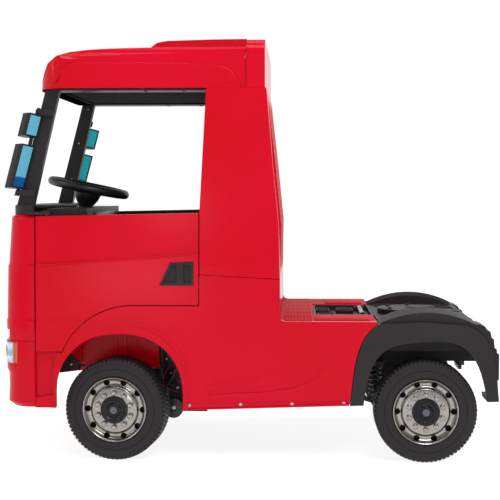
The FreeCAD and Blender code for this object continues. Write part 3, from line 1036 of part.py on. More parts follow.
# CHASSIS: black floor plate under the cab with a spine below the deck, plus the battery
ch_top = CHASSIS_LOW_Z + CHASSIS_T
ch_y = BODY_HALF_W - SIDE_T
chassis = box(CHASSIS_REAR_X, CHASSIS_FRONT_X, -ch_y, ch_y, CHASSIS_LOW_Z, ch_top)
walls = []
for y in (-ch_y, -SPINE_HALF_W, SPINE_HALF_W - CHASSIS_WALL, ch_y - CHASSIS_WALL):
    walls.append(box(CHASSIS_REAR_X, CHASSIS_FRONT_X, y, y + CHASSIS_WALL, CHASSIS_LOW_Z, SHELF_Z))
nose_bracket = box(CHASSIS_FRONT_X - 20.0, SWING_ARM_X + 22.0, -SPINE_HALF_W, SPINE_HALF_W,
                   SWING_ARM_Z - 20.0, ch_top)
nose_bracket = nose_bracket.cut(box(CHASSIS_FRONT_X - 8.0, SWING_ARM_X + 30.0, -SPINE_HALF_W + 16.0,
                                    SPINE_HALF_W - 16.0, 0.0, CHASSIS_LOW_Z))
spine_front = box(CHASSIS_FRONT_X, SPINE_FRONT_X, -SPINE_HALF_W, SPINE_HALF_W, CHASSIS_LOW_Z, SHELF_Z)
spine_front = spine_front.cut(box(CHASSIS_FRONT_X - 1.0, SPINE_FRONT_X - CHASSIS_WALL,
                                  -SPINE_HALF_W + CHASSIS_WALL, SPINE_HALF_W - CHASSIS_WALL,
                                  ch_top, REACH))
tail_top = DECK_Z - PLATE_DOWN - PLATE_T
tail = prism_y([(TAIL_BOX_REAR_X, TAIL_BOX_LOW_Z), (CHASSIS_REAR_X + CHASSIS_WALL, TAIL_BOX_LOW_Z),
                (CHASSIS_REAR_X + CHASSIS_WALL, tail_top), (PLATE_REAR_X, tail_top),
                (TAIL_BOX_REAR_X, tail_top - TAIL_BOX_SLOPE)], -TAIL_BOX_HALF_W, TAIL_BOX_HALF_W)
tail = tail.cut(box(TAIL_BOX_REAR_X + CHASSIS_WALL, CHASSIS_REAR_X, -TAIL_BOX_HALF_W + CHASSIS_WALL,
                    TAIL_BOX_HALF_W - CHASSIS_WALL, TAIL_BOX_LOW_Z + CHASSIS_WALL, REACH))
tail = tail.cut(box(GUARD_FRONT_X - 2.0, REACH, -REACH, REACH, DECK_Z - TRAY_H, REACH))
ledges = []
for s in (-1.0, 1.0):
    y0 = min(s * (TAIL_BOX_HALF_W - 6.0), s * (SPRING_REAR_Y + SPRING_R + 3.0))
    y1 = max(s * (TAIL_BOX_HALF_W - 6.0), s * (SPRING_REAR_Y + SPRING_R + 3.0))
    ledges.append(box(SPRING_REAR_X - 22.0, SPRING_REAR_X + 22.0, y0, y1, SPRING_SEAT_Z,
                      SPRING_SEAT_Z + CHASSIS_T))
chassis = join([chassis, nose_bracket, spine_front, tail] + walls + ledges)
chassis = chassis.cut(bar_y(SWING_ARM_X, SWING_ARM_Z, AXLE_R, -REACH, REACH))
save("chassis", chassis)
save("battery", box(BATTERY_REAR_X, BATTERY_REAR_X + BATTERY_W, -BATTERY_L * 0.5, BATTERY_L * 0.5, ch_top,
                    ch_top + BATTERY_H))

# DECK: red plate behind the cab with cross ribs, and the black tray let into it
deck_front = CAB_REAR_X + BACK_WALL_T + 30.0
deck_y = BODY_HALF_W - SIDE_T
deck = box(GUARD_FRONT_X + 2.0, deck_front, -deck_y, deck_y, DECK_Z - DECK_T, DECK_Z)
deck = deck.common(box(-REACH, SEAT_BOX_REAR_X - GAP, -REACH, REACH, 0.0, REACH))
deck = deck.cut(box(-REACH, CHANNEL_FRONT_X, -CHANNEL_HALF_W, CHANNEL_HALF_W, 0.0, REACH))
save("rear_deck", deck)
tray_y = CHANNEL_HALF_W
tray = box(GUARD_FRONT_X - 2.0, CHANNEL_FRONT_X, -tray_y, tray_y, DECK_Z - TRAY_H, DECK_Z - 2.0)
tray = tray.cut(box(GUARD_FRONT_X + 6.0, CHANNEL_FRONT_X - TRAY_WALL, -tray_y + TRAY_WALL,
                    tray_y - TRAY_WALL, DECK_Z - TRAY_H + TRAY_WALL, REACH))
save("channel_tray", tray)

# MUDGUARDS: deep black boxes over the rear wheels, with a raised crown along the top and a stepped rear
guard_top = [(GUARD_CROWN_X + 82.0, GUARD_TOP_Z - 1.0), (GUARD_CROWN_X, GUARD_TOP_Z + 2.0),
             (GUARD_CROWN_X - 105.0, GUARD_TOP_Z - 6.0)]
guard_rear = through([(GUARD_REAR_FOOT_X + 56.0, GUARD_TOP_Z - 19.0),
                      (GUARD_REAR_FOOT_X + 27.0, GUARD_TOP_Z - 54.0),
                      (GUARD_REAR_FOOT_X + 10.0, GUARD_TOP_Z - 105.0),
                      (GUARD_REAR_FOOT_X, GUARD_REAR_FOOT_Z)], 9)
guard_face = flat([V(x, GUARD_INNER_Y, z) for x, z in guard_edge + guard_top + guard_rear])
guard = guard_face.extrude(V(0, BODY_HALF_W - GUARD_INNER_Y, 0))
hollow = guard_face.makeOffset2D(-GUARD_T)
hollow.translate(V(0, GUARD_WALL, 0))
hollow = hollow.extrude(V(0, BODY_HALF_W - GUARD_T - GUARD_INNER_Y - GUARD_WALL, 0))
left_end = REAR_ARCH_X + REAR_ARCH_HALF_W
right_end = REAR_ARCH_X - REAR_ARCH_HALF_W
arch_line = through([(left_end, GUARD_FOOT_Z), (left_end - 9.0, GUARD_FOOT_Z + 59.0),
                     (left_end - 23.0, REAR_ARCH_SHOULDER_Z - 45.0), (left_end - 60.0, REAR_ARCH_SHOULDER_Z),
                     (left_end - 89.0, REAR_ARCH_TOP_Z - 8.0), (left_end - 147.0, REAR_ARCH_TOP_Z),
                     (right_end + 88.0, REAR_ARCH_TOP_Z - 2.0),
                     (right_end + 55.0, REAR_ARCH_SHOULDER_Z + 1.0),
                     (right_end + 15.0, REAR_ARCH_SHOULDER_Z - 65.0), (right_end, GUARD_REAR_FOOT_Z)], 30)
arch_line = [(left_end, 0.0)] + arch_line + [(right_end, 0.0)]
arch_cut = prism_y(arch_line, GUARD_INNER_Y + GUARD_WALL, REACH)


def crown_wire(y, drop):
    end_z = GUARD_TOP_Z + GUARD_CROWN_RISE * 0.5 - drop
    front = V(GUARD_CROWN_FRONT_X, y, end_z)
    crest = V(GUARD_CROWN_X, y, GUARD_CROWN_Z + GUARD_CROWN_RISE - drop)
    rear = V(GUARD_CROWN_REAR_X, y, end_z)
    low_rear = V(GUARD_CROWN_REAR_X, y, GUARD_TOP_Z - GUARD_T)
    low_front = V(GUARD_CROWN_FRONT_X, y, GUARD_TOP_Z - GUARD_T)
    return Part.Wire([Part.Arc(front, crest, rear).toShape(), Part.makeLine(rear, low_rear),
                      Part.makeLine(low_rear, low_front), Part.makeLine(low_front, front)])


block_y = BODY_HALF_W - GUARD_CROWN_INSET
crown = Part.makeLoft([crown_wire(GUARD_INNER_Y, GUARD_CROWN_RISE + 2.0),
                       crown_wire(GUARD_INNER_Y + GUARD_CROWN_EDGE, 0.0),
                       crown_wire(block_y, GUARD_CROWN_RISE)], True, True)
steps = prism_y([(GUARD_CROWN_REAR_X + 12.0, GUARD_TOP_Z - 2.0), (TAIL_X + 50.0, GUARD_TOP_Z - 4.0),
                 (TAIL_X + 37.0, GUARD_TOP_Z - 9.0), (TAIL_X + 30.0, GUARD_TOP_Z - 20.0),
                 (TAIL_X + 23.0, GUARD_TOP_Z - 23.0), (TAIL_X + 20.0, GUARD_TOP_Z - 38.0),
                 (TAIL_X + 14.0, GUARD_TOP_Z - 43.0), (TAIL_X + 12.0, TAIL_BLOCK_TOP_Z + 18.0),
                 (TAIL_X + 6.0, TAIL_BLOCK_TOP_Z + 12.0), (TAIL_X + 6.0, TAIL_BLOCK_TOP_Z + 2.0),
                 (TAIL_X, TAIL_BLOCK_TOP_Z), (TAIL_X, TAIL_BLOCK_LOW_Z),
                 (TAIL_X + 8.0, TAIL_BLOCK_LOW_Z - 8.0),
                 (TAIL_X + 24.0, TAIL_BLOCK_LOW_Z), (TAIL_X + 35.0, TAIL_BLOCK_TOP_Z),
                 (TAIL_X + 55.0, GUARD_TOP_Z - 50.0)], GUARD_INNER_Y, block_y)
guard = guard.fuse([crown, steps]).cut([arch_cut, hollow])
guard = guard.cut(box(-REACH, 0.0, 0.0, GUARD_INNER_Y + GUARD_WALL, 0.0, 2.0 * WHEEL_R + 15.0))
guard = guard.cut(box(-REACH, TAIL_X + 22.0, 0.0, BODY_HALF_W - GUARD_T, 0.0, TAIL_BLOCK_LOW_Z - 8.0))
guard = guard.removeSplitter()
lamp_y = (GUARD_INNER_Y + block_y) * 0.5
lamp = box(TAIL_X - 0.5, TAIL_X + 6.0, lamp_y - TAIL_LAMP_W * 0.5, lamp_y + TAIL_LAMP_W * 0.5,
           TAIL_LAMP_Z, TAIL_LAMP_Z + TAIL_LAMP_H)
guard = guard.cut(lamp)
save("mudguard_left", guard)
save("mudguard_right", other_side(guard))
save("tail_lamps", both(lamp))

# COUPLING DECK: black plate between the mudguards, and the coupling dish on it
plate_top = DECK_Z - PLATE_DOWN
plate = box(PLATE_REAR_X, GUARD_FRONT_X - 5.0, -GUARD_INNER_Y, GUARD_INNER_Y, plate_top - PLATE_T, plate_top)
save("coupling_deck", plate)
dish = bar_z(COUPLING_X, 0.0, COUPLING_R, plate_top, plate_top + COUPLING_T)
notch = prism_z([(COUPLING_X - 10.0, 0.0), (COUPLING_X - COUPLING_R - 10.0, -COUPLING_R * 0.5),
                 (COUPLING_X - COUPLING_R - 10.0, COUPLING_R * 0.5)], 0.0, REACH)
dish = dish.cut([notch, bar_z(COUPLING_X, 0.0, COUPLING_BORE_R, 0.0, REACH)])
save("coupling_dish", dish)

# MIRRORS: post clipped along each pillar with a small upper head and a larger lower head
post_z0 = MIRROR_LOWER_LOW_Z - 18.0
post_z1 = MIRROR_UPPER_LOW_Z + MIRROR_UPPER_H + 20.0
lean_per_z = (PILLAR_FOOT_FRONT_X - PILLAR_HEAD_FRONT_X) / (EAVES_Z - cowl_top)


def post_x(z):
    return PILLAR_HEAD_FRONT_X + 2.0 + (EAVES_Z - z) * lean_per_z


def slanted(points, z, h):
    return flat([V(x, y, z) for x, y in points]).extrude(V(-lean_per_z * h, 0, h))


def mirror_parts(turn, setback):
    y_post = PILLAR_Y + MIRROR_POST_OUT
    a = V(post_x(post_z0) - setback, y_post, post_z0)
    b = V(post_x(post_z1) - setback, y_post, post_z1)
    up = b - a
    post = Part.makeCylinder(MIRROR_POST_R, up.Length, a, up)
    arms = []
    heads = []
    faces = []
    for z in (post_z0 + 6.0, post_z1 - 14.0):
        x = post_x(z) - setback
        arms.append(slanted([(x + 7.0, PILLAR_Y), (x + 7.0, y_post + 8.0), (x - 13.0, y_post + 8.0),
                             (x - 42.0 + setback, PILLAR_Y + 6.0), (x - 42.0 + setback, PILLAR_Y)], z - 6.0,
                            16.0))
    for low, h in ((MIRROR_UPPER_LOW_Z, MIRROR_UPPER_H), (MIRROR_LOWER_LOW_Z, MIRROR_LOWER_H)):
        x = post_x(low) - setback
        y0 = y_post - 6.0
        d = MIRROR_DEPTH
        rows = [(x - d * 0.4, y0), (x - d * 0.4, y0 + MIRROR_W), (x - d * 0.1, y0 + MIRROR_W),
                (x + d * 0.45, y0 + MIRROR_W - 7.0), (x + d * 0.6, y0 + MIRROR_W - 18.0),
                (x + d * 0.6, y0 + 12.0), (x + d * 0.45, y0 + 4.0), (x - d * 0.1, y0)]
        head = slanted(rows, low, h)
        x1 = x - d * 0.4
        lift = lean_per_z * 4.0
        cup = slanted([(x1 - 1.0 - lift, y0 + 4.0), (x1 - 1.0 - lift, y0 + MIRROR_W - 4.0),
                       (x1 + 4.0 - lift, y0 + MIRROR_W - 4.0), (x1 + 4.0 - lift, y0 + 4.0)], low + 4.0,
                      h - 8.0)
        face = slanted([(x1 + 1.5 - lift, y0 + 4.0), (x1 + 1.5 - lift, y0 + MIRROR_W - 4.0),
                        (x1 + 4.0 - lift, y0 + MIRROR_W - 4.0), (x1 + 4.0 - lift, y0 + 4.0)], low + 4.0,
                       h - 8.0)
        head = head.cut(cup)
        for shape in (head, face):
            shape.rotate(V(x, y_post, low), up, turn)
        heads.append(head)
        faces.append(face)
    body = join([post] + arms + heads)
    return body, faces


left_body, left_faces = mirror_parts(-MIRROR_NEAR_TURN_DEG, 0.0)
right_body, right_faces = mirror_parts(-MIRROR_FAR_TURN_DEG, MIRROR_FAR_SETBACK)
save("mirror_left", left_body)
save("mirror_right", other_side(right_body))
save("mirror_faces", group(left_faces + [other_side(f) for f in right_faces]))

# ROAD WHEELS: moulded tyre with grooves, bright rim with holes and nuts, black cap
tyre_in_y = WHEEL_FACE_Y - WHEEL_W


def set_on(solid, x):
    solid.translate(V(x, 0, wheel_z))
    return solid


def tyre_at(x):
    o = WHEEL_FACE_Y
    i = tyre_in_y
    s = TYRE_SHOULDER
    side_r = RIM_R + TYRE_RING
    profile = [(o - 3.0, RIM_R), (o, RIM_R + 10.0), (o, side_r), (o - 2.0, side_r + 2.0),
               (o - 2.0, WHEEL_R - s - 4.0), (o - s, WHEEL_R), (i + s, WHEEL_R),
               (i + 2.0, WHEEL_R - s - 4.0), (i, side_r), (i, RIM_R + 10.0), (i + 3.0, RIM_R)]
    return set_on(ring(profile, TYRE_SIDES), x)


def rim_at(x):
    o = WHEEL_FACE_Y
    r_in = RIM_R - RIM_T
    low = tyre_in_y + 3.0
    profile = [(low, RIM_R - 0.2), (o - 2.0, RIM_R - 0.2), (o + 1.0, RIM_R - 1.5),
               (o + 1.0, RIM_R - RIM_LIP), (o - RIM_DISH, RIM_R - RIM_LIP - 4.0), (o - RIM_DISH + 4.0, RIM_DISC_R + 2.0),
               (o - 1.0, RIM_DISC_R - 2.0), (o - 1.0, 20.0), (o - 16.0, 20.0),
               (o - 16.0, RIM_DISC_R), (o - RIM_DISH - RIM_T, r_in), (low, r_in)]
    rim = set_on(ring(profile, RIM_SIDES), x)
    sleeve = bar_y(x, wheel_z, 22.0, tyre_in_y + 6.0, o - 1.0)
    rim = rim.fuse(sleeve)
    holes = []
    nuts = []
    for n in range(NUT_COUNT):
        a = 2.0 * math.pi * n / NUT_COUNT
        corners = [(NUT_CIRCLE_R + NUT_R * math.cos(k * math.pi / 3.0), NUT_R * math.sin(k * math.pi / 3.0))
                   for k in range(6)]
        nuts.append(face_prism(corners, a, o - 2.0, o + NUT_H - 1.0, x))
        oval = [(HAND_HOLE_CIRCLE_R + HAND_HOLE_R * 0.8 * math.cos(k * math.pi / 5.0),
                 HAND_HOLE_R * math.sin(k * math.pi / 5.0)) for k in range(10)]
        holes.append(face_prism(oval, a + math.pi / NUT_COUNT, o - 30.0, o + 10.0, x))
    rim = join([rim.cut(holes)] + nuts)
    return rim.cut([bar_y(x, wheel_z, AXLE_R + AXLE_PLAY, 0.0, o + 5.0),
                    bar_y(x, wheel_z, HUB_CAP_R - 4.0, o - CAP_SEAT, o + 5.0)])


# Prism across the wheel's face, its section given along and across the line to the hub

def face_prism(section, angle, y0, y1, x):
    c = math.cos(angle)
    s = math.sin(angle)
    face = flat([V(x + r * c - t * s, y0, wheel_z + r * s + t * c) for r, t in section])
    return face.extrude(V(0, y1 - y0, 0))


def cap_at(x):
    o = WHEEL_FACE_Y
    top = o + HUB_CAP_OUT
    profile = [(o - CAP_SEAT + 0.5, 0.0), (o - CAP_SEAT + 0.5, HUB_CAP_R - 4.6), (o - 1.0, HUB_CAP_R - 4.6),
               (o - 1.0, HUB_CAP_R), (top - 5.0, HUB_CAP_R), (top - 2.0, HUB_CAP_R - 3.0), (top - 2.0, 16.0),
               (top + 2.0, 13.5), (top + 2.0, 0.0)]
    return set_on(ring(profile, CAP_SIDES), x)


rear_set = (tyre_at(REAR_AXLE_X), rim_at(REAR_AXLE_X), cap_at(REAR_AXLE_X))
front_set = (tyre_at(FRONT_AXLE_X), rim_at(FRONT_AXLE_X), cap_at(FRONT_AXLE_X))
for name, shape in zip(("tyre", "rim", "cap"), rear_set):
    save(name + "_rear_left", shape)
    save(name + "_rear_right", other_side(shape))
for name, shape in zip(("tyre", "rim", "cap"), front_set):
    save(name + "_front_left", turned(shape, FRONT_AXLE_X, fork_y, STEER_REST))
    save(name + "_front_right", turned(other_side(shape), FRONT_AXLE_X, -fork_y, STEER_REST))
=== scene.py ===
import bpy
import bmesh
import json
from math import atan, atan2, cos, hypot, pi, radians, sin
from mathutils import Matrix, Vector


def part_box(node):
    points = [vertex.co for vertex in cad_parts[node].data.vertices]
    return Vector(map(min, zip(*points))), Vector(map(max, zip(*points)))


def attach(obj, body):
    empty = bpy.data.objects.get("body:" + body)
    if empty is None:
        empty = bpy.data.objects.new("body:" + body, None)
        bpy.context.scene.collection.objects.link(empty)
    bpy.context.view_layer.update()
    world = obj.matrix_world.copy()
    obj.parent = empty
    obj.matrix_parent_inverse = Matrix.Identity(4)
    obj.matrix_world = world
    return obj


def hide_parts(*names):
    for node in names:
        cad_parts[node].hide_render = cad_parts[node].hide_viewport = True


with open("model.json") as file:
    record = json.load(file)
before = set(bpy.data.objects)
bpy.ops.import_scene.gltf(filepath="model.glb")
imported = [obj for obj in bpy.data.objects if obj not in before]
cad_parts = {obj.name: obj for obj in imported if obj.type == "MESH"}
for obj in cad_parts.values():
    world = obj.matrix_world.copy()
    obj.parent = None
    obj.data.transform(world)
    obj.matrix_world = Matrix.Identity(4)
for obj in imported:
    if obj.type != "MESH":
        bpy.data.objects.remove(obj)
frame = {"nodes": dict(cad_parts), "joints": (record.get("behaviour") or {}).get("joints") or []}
scene = bpy.context.scene
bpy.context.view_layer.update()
nodes = frame["nodes"]
joints = {joint["name"]: joint for joint in frame["joints"]}

# The studio: a pale matt table that glows a little, in a pale room with a darker ceiling, five soft panels
# and two small cards, so that upright faces stay deep in colour and edges that tilt up catch light.
# The camera stands to the toy's left, a little higher than the top of its door.

PHOTO_PX = 500
FOCAL_PX = 1196.0
SENSOR_MM = 36.0
CAMERA_AT = Vector((-0.14, 3.45, 0.717))
CAMERA_TURN_PX = 50.0
CAMERA_DIP_PX = 60.0
TABLE_HALF_M = 9.0
ROOM_WHITE = 1.05
ROOM_DIM = 0.82
CEILING_SHARE = 0.3
TABLE_GLOW = 0.86


def linear(code):
    channels = [int(code[i:i + 2], 16) / 255.0 for i in (1, 3, 5)]
    return tuple(c / 12.92 if c <= 0.04045 else ((c + 0.055) / 1.055) ** 2.4 for c in channels) + (1.0,)


def add(mat, kind, values=(), links=()):
    node = mat.node_tree.nodes.new(kind)
    for key, value in values:
        if isinstance(key, str) and hasattr(node, key):
            setattr(node, key, value)
        else:
            node.inputs[key].default_value = value
    for key, source in links:
        mat.node_tree.links.new(source, node.inputs[key])
    return node


def new_material(name):
    mat = bpy.data.materials.new(name)
    mat.use_nodes = True
    mat.node_tree.nodes.clear()
    return mat


def shade(mat, source, dark, light, dark_at=0.0, light_at=1.0):
    ramp = add(mat, "ShaderNodeValToRGB", links=[("Fac", source)])
    for stop, code, at in zip(ramp.color_ramp.elements, (dark, light), (dark_at, light_at)):
        stop.position = at
        stop.color = linear(code)
    return ramp.outputs["Color"]


def finish_material(mat, shader):
    out = add(mat, "ShaderNodeOutputMaterial")
    mat.node_tree.links.new(shader.outputs[0], out.inputs["Surface"])
    return mat


moved_to = Matrix.Translation


def new_object(name, data):
    thing = bpy.data.objects.new(name, data)
    scene.collection.objects.link(thing)
    return thing


def mesh_of(name, bm):
    mesh = bpy.data.meshes.new(name)
    bm.to_mesh(mesh)
    bm.free()
    return mesh


def on_axes(x, y, z, at):
    return moved_to(at) @ Matrix((x, y, z)).transposed().to_4x4()


paper = new_material("painted_studio_board")
coords = add(paper, "ShaderNodeTexCoord")
grain = add(paper, "ShaderNodeTexNoise", [("Scale", 3.0), ("Detail", 2.0)],
            [("Vector", coords.outputs["Object"])])
tone = shade(paper, grain.outputs["Fac"], "#A9A9A9", "#ADADAD")
board = add(paper, "ShaderNodeBsdfPrincipled",
            [("Roughness", 0.85), ("IOR", 1.45), ("Emission Color", linear("#FFFFFF")),
             ("Emission Strength", TABLE_GLOW)], [("Base Color", tone)])
finish_material(paper, board)

bm = bmesh.new()
bmesh.ops.create_grid(bm, x_segments=1, y_segments=1, size=TABLE_HALF_M)
floor = new_object("floor", mesh_of("floor", bm))
floor.data.materials.append(paper)

turn = atan(CAMERA_TURN_PX / FOCAL_PX)
dip = atan(CAMERA_DIP_PX / FOCAL_PX * cos(turn))
aim = Vector((sin(turn) * cos(dip), -cos(turn) * cos(dip), -sin(dip)))
right = aim.cross(Vector((0.0, 0.0, 1.0))).normalized()
upward = right.cross(aim)
lens = bpy.data.cameras.new("camera")
lens.sensor_width = SENSOR_MM
lens.lens = FOCAL_PX / PHOTO_PX * SENSOR_MM
camera = new_object("camera", lens)
camera.matrix_world = on_axes(right, upward, -aim, CAMERA_AT)
scene.camera = camera

for name, place, target, size, power in (
        ("key_panel", (-1.0, 2.6, 3.0), (0.0, 0.0, 0.5), (1.6, 0.9), 46.0),
        ("long_strip", (0.2, 1.4, 3.2), (0.1, 0.2, 0.6), (2.8, 0.3), 25.0),
        ("front_panel_light", (3.4, 1.2, 2.2), (0.3, 0.0, 0.5), (1.2, 1.6), 20.0),
        ("rear_panel_light", (-3.2, -0.6, 2.2), (-0.2, 0.0, 0.5), (1.2, 1.6), 20.0),
        ("low_card", (0.77, 3.75, 0.24), (0.3, 0.3, 0.45), (0.64, 0.24), 1.6),
        ("belt_card", (0.57, 3.85, 0.84), (0.2, 0.3, 0.65), (0.26, 0.07), 1.0),
        ("top_panel", (0.0, -0.4, 3.6), (0.0, 0.0, 0.0), (2.4, 1.4), 24.0)):
    panel = bpy.data.lights.new(name, "AREA")
    panel.shape = "RECTANGLE"
    panel.size, panel.size_y = size
    panel.energy = power
    lamp = new_object(name, panel)
    lamp.location = place
    lamp.rotation_euler = (Vector(target) - Vector(place)).to_track_quat("-Z", "Y").to_euler()

room = bpy.data.worlds.new("studio_room")
room.use_nodes = True
facing = add(room, "ShaderNodeTexCoord")
parts = add(room, "ShaderNodeSeparateXYZ", links=[("Vector", facing.outputs["Generated"])])
behind = add(room, "ShaderNodeMapRange", [("interpolation_type", "SMOOTHSTEP"), ("From Min", 0.55),
                                          ("From Max", -0.1), ("To Min", ROOM_DIM),
                                          ("To Max", ROOM_WHITE)], [("Value", parts.outputs["Y"])])
ceiling = add(room, "ShaderNodeMapRange", [("interpolation_type", "SMOOTHSTEP"), ("From Min", 0.24),
                                           ("From Max", 0.5), ("To Min", 1.0),
                                           ("To Max", CEILING_SHARE)], [("Value", parts.outputs["Z"])])
level = add(room, "ShaderNodeMath", [("operation", "MULTIPLY")],
            [(0, behind.outputs["Result"]), (1, ceiling.outputs["Result"])])
backdrop = room.node_tree.nodes["Background"]
backdrop.inputs["Color"].default_value = linear("#FDFDFE")
room.node_tree.links.new(level.outputs["Value"], backdrop.inputs["Strength"])
scene.world = room
scene.view_settings.view_transform = "Standard"

# The red body mouldings: nose, bumper, side panels, doors, quarter panels, back wall, roof, deck, tub.
# They are injection-moulded polypropylene, coloured through, with the gloss of a polished mould and
# softly rounded edges. The eye gets deep red with calm highlights and a faint flow in the colour.

RED_MOULDINGS = ("front_panel", "bumper", "side_left", "side_right", "door_left", "door_right",
                 "quarter_left", "quarter_right", "back_wall", "roof", "cab_tub", "rear_deck")
FLOW_PER_M = 3.0
ORANGE_PEEL_PER_M = 160.0
EDGE_ROUND_M = 0.0024
PLASTIC_IOR = 1.49
FLOW_DARK_AT, FLOW_LIGHT_AT = 0.3, 0.7
SAME_POINT_M = 0.00002
SHARP_EDGE_DEG = 35.0


def moulded(name, dark, light, roughness, spread, peel, depth_m, shine=0.3):
    mat = new_material(name)
    place = add(mat, "ShaderNodeTexCoord")
    flow = add(mat, "ShaderNodeTexNoise", [("Scale", FLOW_PER_M), ("Detail", 4.0)],
               [("Vector", place.outputs["Object"])])
    colour = shade(mat, flow.outputs["Fac"], dark, light, FLOW_DARK_AT, FLOW_LIGHT_AT)
    skin = add(mat, "ShaderNodeTexNoise", [("Scale", peel), ("Detail", 3.0)],
               [("Vector", place.outputs["Object"])])
    matt = add(mat, "ShaderNodeMapRange", [("To Min", roughness - spread), ("To Max", roughness + spread)],
               [("Value", skin.outputs["Fac"])])
    relief = add(mat, "ShaderNodeBump", [("Strength", 1.0), ("Distance", depth_m)],
                 [("Height", skin.outputs["Fac"])])
    plastic = add(mat, "ShaderNodeBsdfPrincipled",
                  [("IOR", PLASTIC_IOR), ("Specular IOR Level", shine)],
                  [("Base Color", colour), ("Roughness", matt.outputs["Result"]),
                   ("Normal", relief.outputs["Normal"])])
    return finish_material(mat, plastic)


def dress(material, names):
    for name in names:
        nodes[name].data.materials.clear()
        nodes[name].data.materials.append(material)


def round_edges(names, radius):
    for name in names:
        weld = nodes[name].modifiers.new("weld", "WELD")
        weld.merge_threshold = SAME_POINT_M
        edge = nodes[name].modifiers.new("edge", "BEVEL")
        edge.width = radius
        edge.segments = 3
        edge.limit_method = "ANGLE"
        edge.angle_limit = radians(SHARP_EDGE_DEG)
        edge.use_clamp_overlap = True
        edge.harden_normals = False


red_plastic = moulded("glossy_red_polypropylene", "#BE0014", "#C80024", 0.16, 0.03, ORANGE_PEEL_PER_M,
                      0.00003, 0.12)
dress(red_plastic, RED_MOULDINGS)
deck_plastic = moulded("grained_red_polypropylene", "#BE0014", "#C80024", 0.5, 0.05, 700.0, 0.00006, 0.07)
dress(deck_plastic, ("rear_deck",))
round_edges(RED_MOULDINGS, EDGE_ROUND_M)

# The black mouldings: windscreen frame, dashboard, linings, mudguards, mirrors, grille, coupling deck.
# The same plastic with carbon black in it, moulded in a mould with a fine spark-eroded grain.
# The eye gets a dark grey satin with broad, dull highlights.

BLACK_MOULDINGS = ("grille", "windscreen_frame", "dashboard", "roof_lining", "door_liner_left",
                   "door_liner_right", "door_grip_left", "door_grip_right", "mudguard_left",
                   "mudguard_right", "coupling_deck", "coupling_dish", "channel_tray", "mirror_left",
                   "mirror_right", "chassis", "rear_drives", "battery", "pedal")
SPARK_GRAIN_PER_M = 900.0
BLACK_EDGE_ROUND_M = 0.0016
black_plastic = moulded("grained_black_polypropylene", "#242023", "#2C282A", 0.42, 0.06,
                        SPARK_GRAIN_PER_M, 0.00008, 0.2)
dress(black_plastic, BLACK_MOULDINGS)
# The roof's lining gets a rougher copy of the black plastic. Its colour is a little darker than the other
# black mouldings, as painted shade under the roof.
lining_plastic_painted_shade = moulded("coarse_black_polypropylene_with_painted_shade", "#1C191B", "#231F21", 0.85, 0.05, SPARK_GRAIN_PER_M,
                         0.0002, 0.03)
dress(lining_plastic_painted_shade, ("roof_lining",))
round_edges(BLACK_MOULDINGS, BLACK_EDGE_ROUND_M)

# The tyres: blow-moulded from black polyethylene, hollow, with a flat sidewall that carries one fine
# groove. The tread has six ribs cut into blocks, and the outer ones run over the shoulder.
# They are pressed over the rims, and their surface is duller and rougher than the body's.

WHEELS = ("front_left", "front_right", "rear_left", "rear_right")
TYRE_R = 0.135
TREAD_DEPTH = 0.0056
NOTCH_DEPTH = 0.0034
SHOULDER_LOW_R = 0.1255
TREAD_BLOCKS = 72
STEPS_PER_BLOCK = 4
BLOCK_SHARE = 0.75
SEAM_M = 0.000005
RIBS = ((0.0268, 0.0402), (0.0142, 0.0228), (0.0018, 0.0104))
STAGGERED_RIB = (0.013, 0.024)
OUTWARD_SHARE = 0.4


def outward(bm):
    bmesh.ops.recalc_face_normals(bm, faces=bm.faces)
    return bm


def spun(profile, steps):
    bm = bmesh.new()
    points = [bm.verts.new((0.0, y, r)) for y, r in profile]
    for a, b in zip(points, points[1:] + points[:1]):
        bm.edges.new((a, b))
    bmesh.ops.spin(bm, geom=bm.verts[:] + bm.edges[:], cent=(0.0, 0.0, 0.0), axis=(0.0, 1.0, 0.0),
                   angle=2.0 * pi, steps=steps, use_merge=True)
    bmesh.ops.remove_doubles(bm, verts=bm.verts, dist=SEAM_M)
    return outward(bm)


def wheel_matrix(place):
    joint = joints["spin_" + place]
    out = Vector(joint["axis"]).normalized()
    if joint["pos_m"][1] < 0.0:
        out = -out
    up = Vector((0.0, 0.0, 1.0))
    return on_axes(out.cross(up), out, up, joint["pos_m"])


def make_piece(name, bm, material, body="body", smooth_deg=SHARP_EDGE_DEG):
    mesh = mesh_of(name, bm)
    mesh.materials.append(material)
    mesh.polygons.foreach_set("use_smooth", [True] * len(mesh.polygons))
    mesh.set_sharp_from_angle(angle=radians(smooth_deg))
    piece = new_object(name, mesh)
    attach(piece, body)
    return piece


def on_each_wheel(name, bm, material, node=None):
    for place in WHEELS:
        copy = bm.copy()
        copy.transform(wheel_matrix(place))
        piece = make_piece(name + "_" + place, copy, material, "wheel_" + place, 30.0)
        if node:
            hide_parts(node + "_" + place)
    bm.free()


tyre_plastic = moulded("matt_black_polyethylene", "#211E20", "#2A2628", 0.5, 0.08,
                       SPARK_GRAIN_PER_M, 0.0001, 0.2)
base_r = TYRE_R - TREAD_DEPTH
right_half = [(0.039, 0.087), (0.0412, 0.0892), (0.0416, 0.093), (0.042, 0.095), (0.042, 0.1068),
              (0.0409, 0.1074), (0.0409, 0.1086), (0.042, 0.1094), (0.0419, 0.116), (0.0413, 0.1215),
              (0.0404, 0.1244), (0.04, 0.1252), (0.0366, 0.1284), (0.035, base_r), (0.0268, base_r),
              (0.0228, base_r), (0.0142, base_r), (0.0104, base_r), (0.0018, base_r)]
tyre_bm = spun(right_half + [(-y, r) for y, r in reversed(right_half)], TREAD_BLOCKS * STEPS_PER_BLOCK)


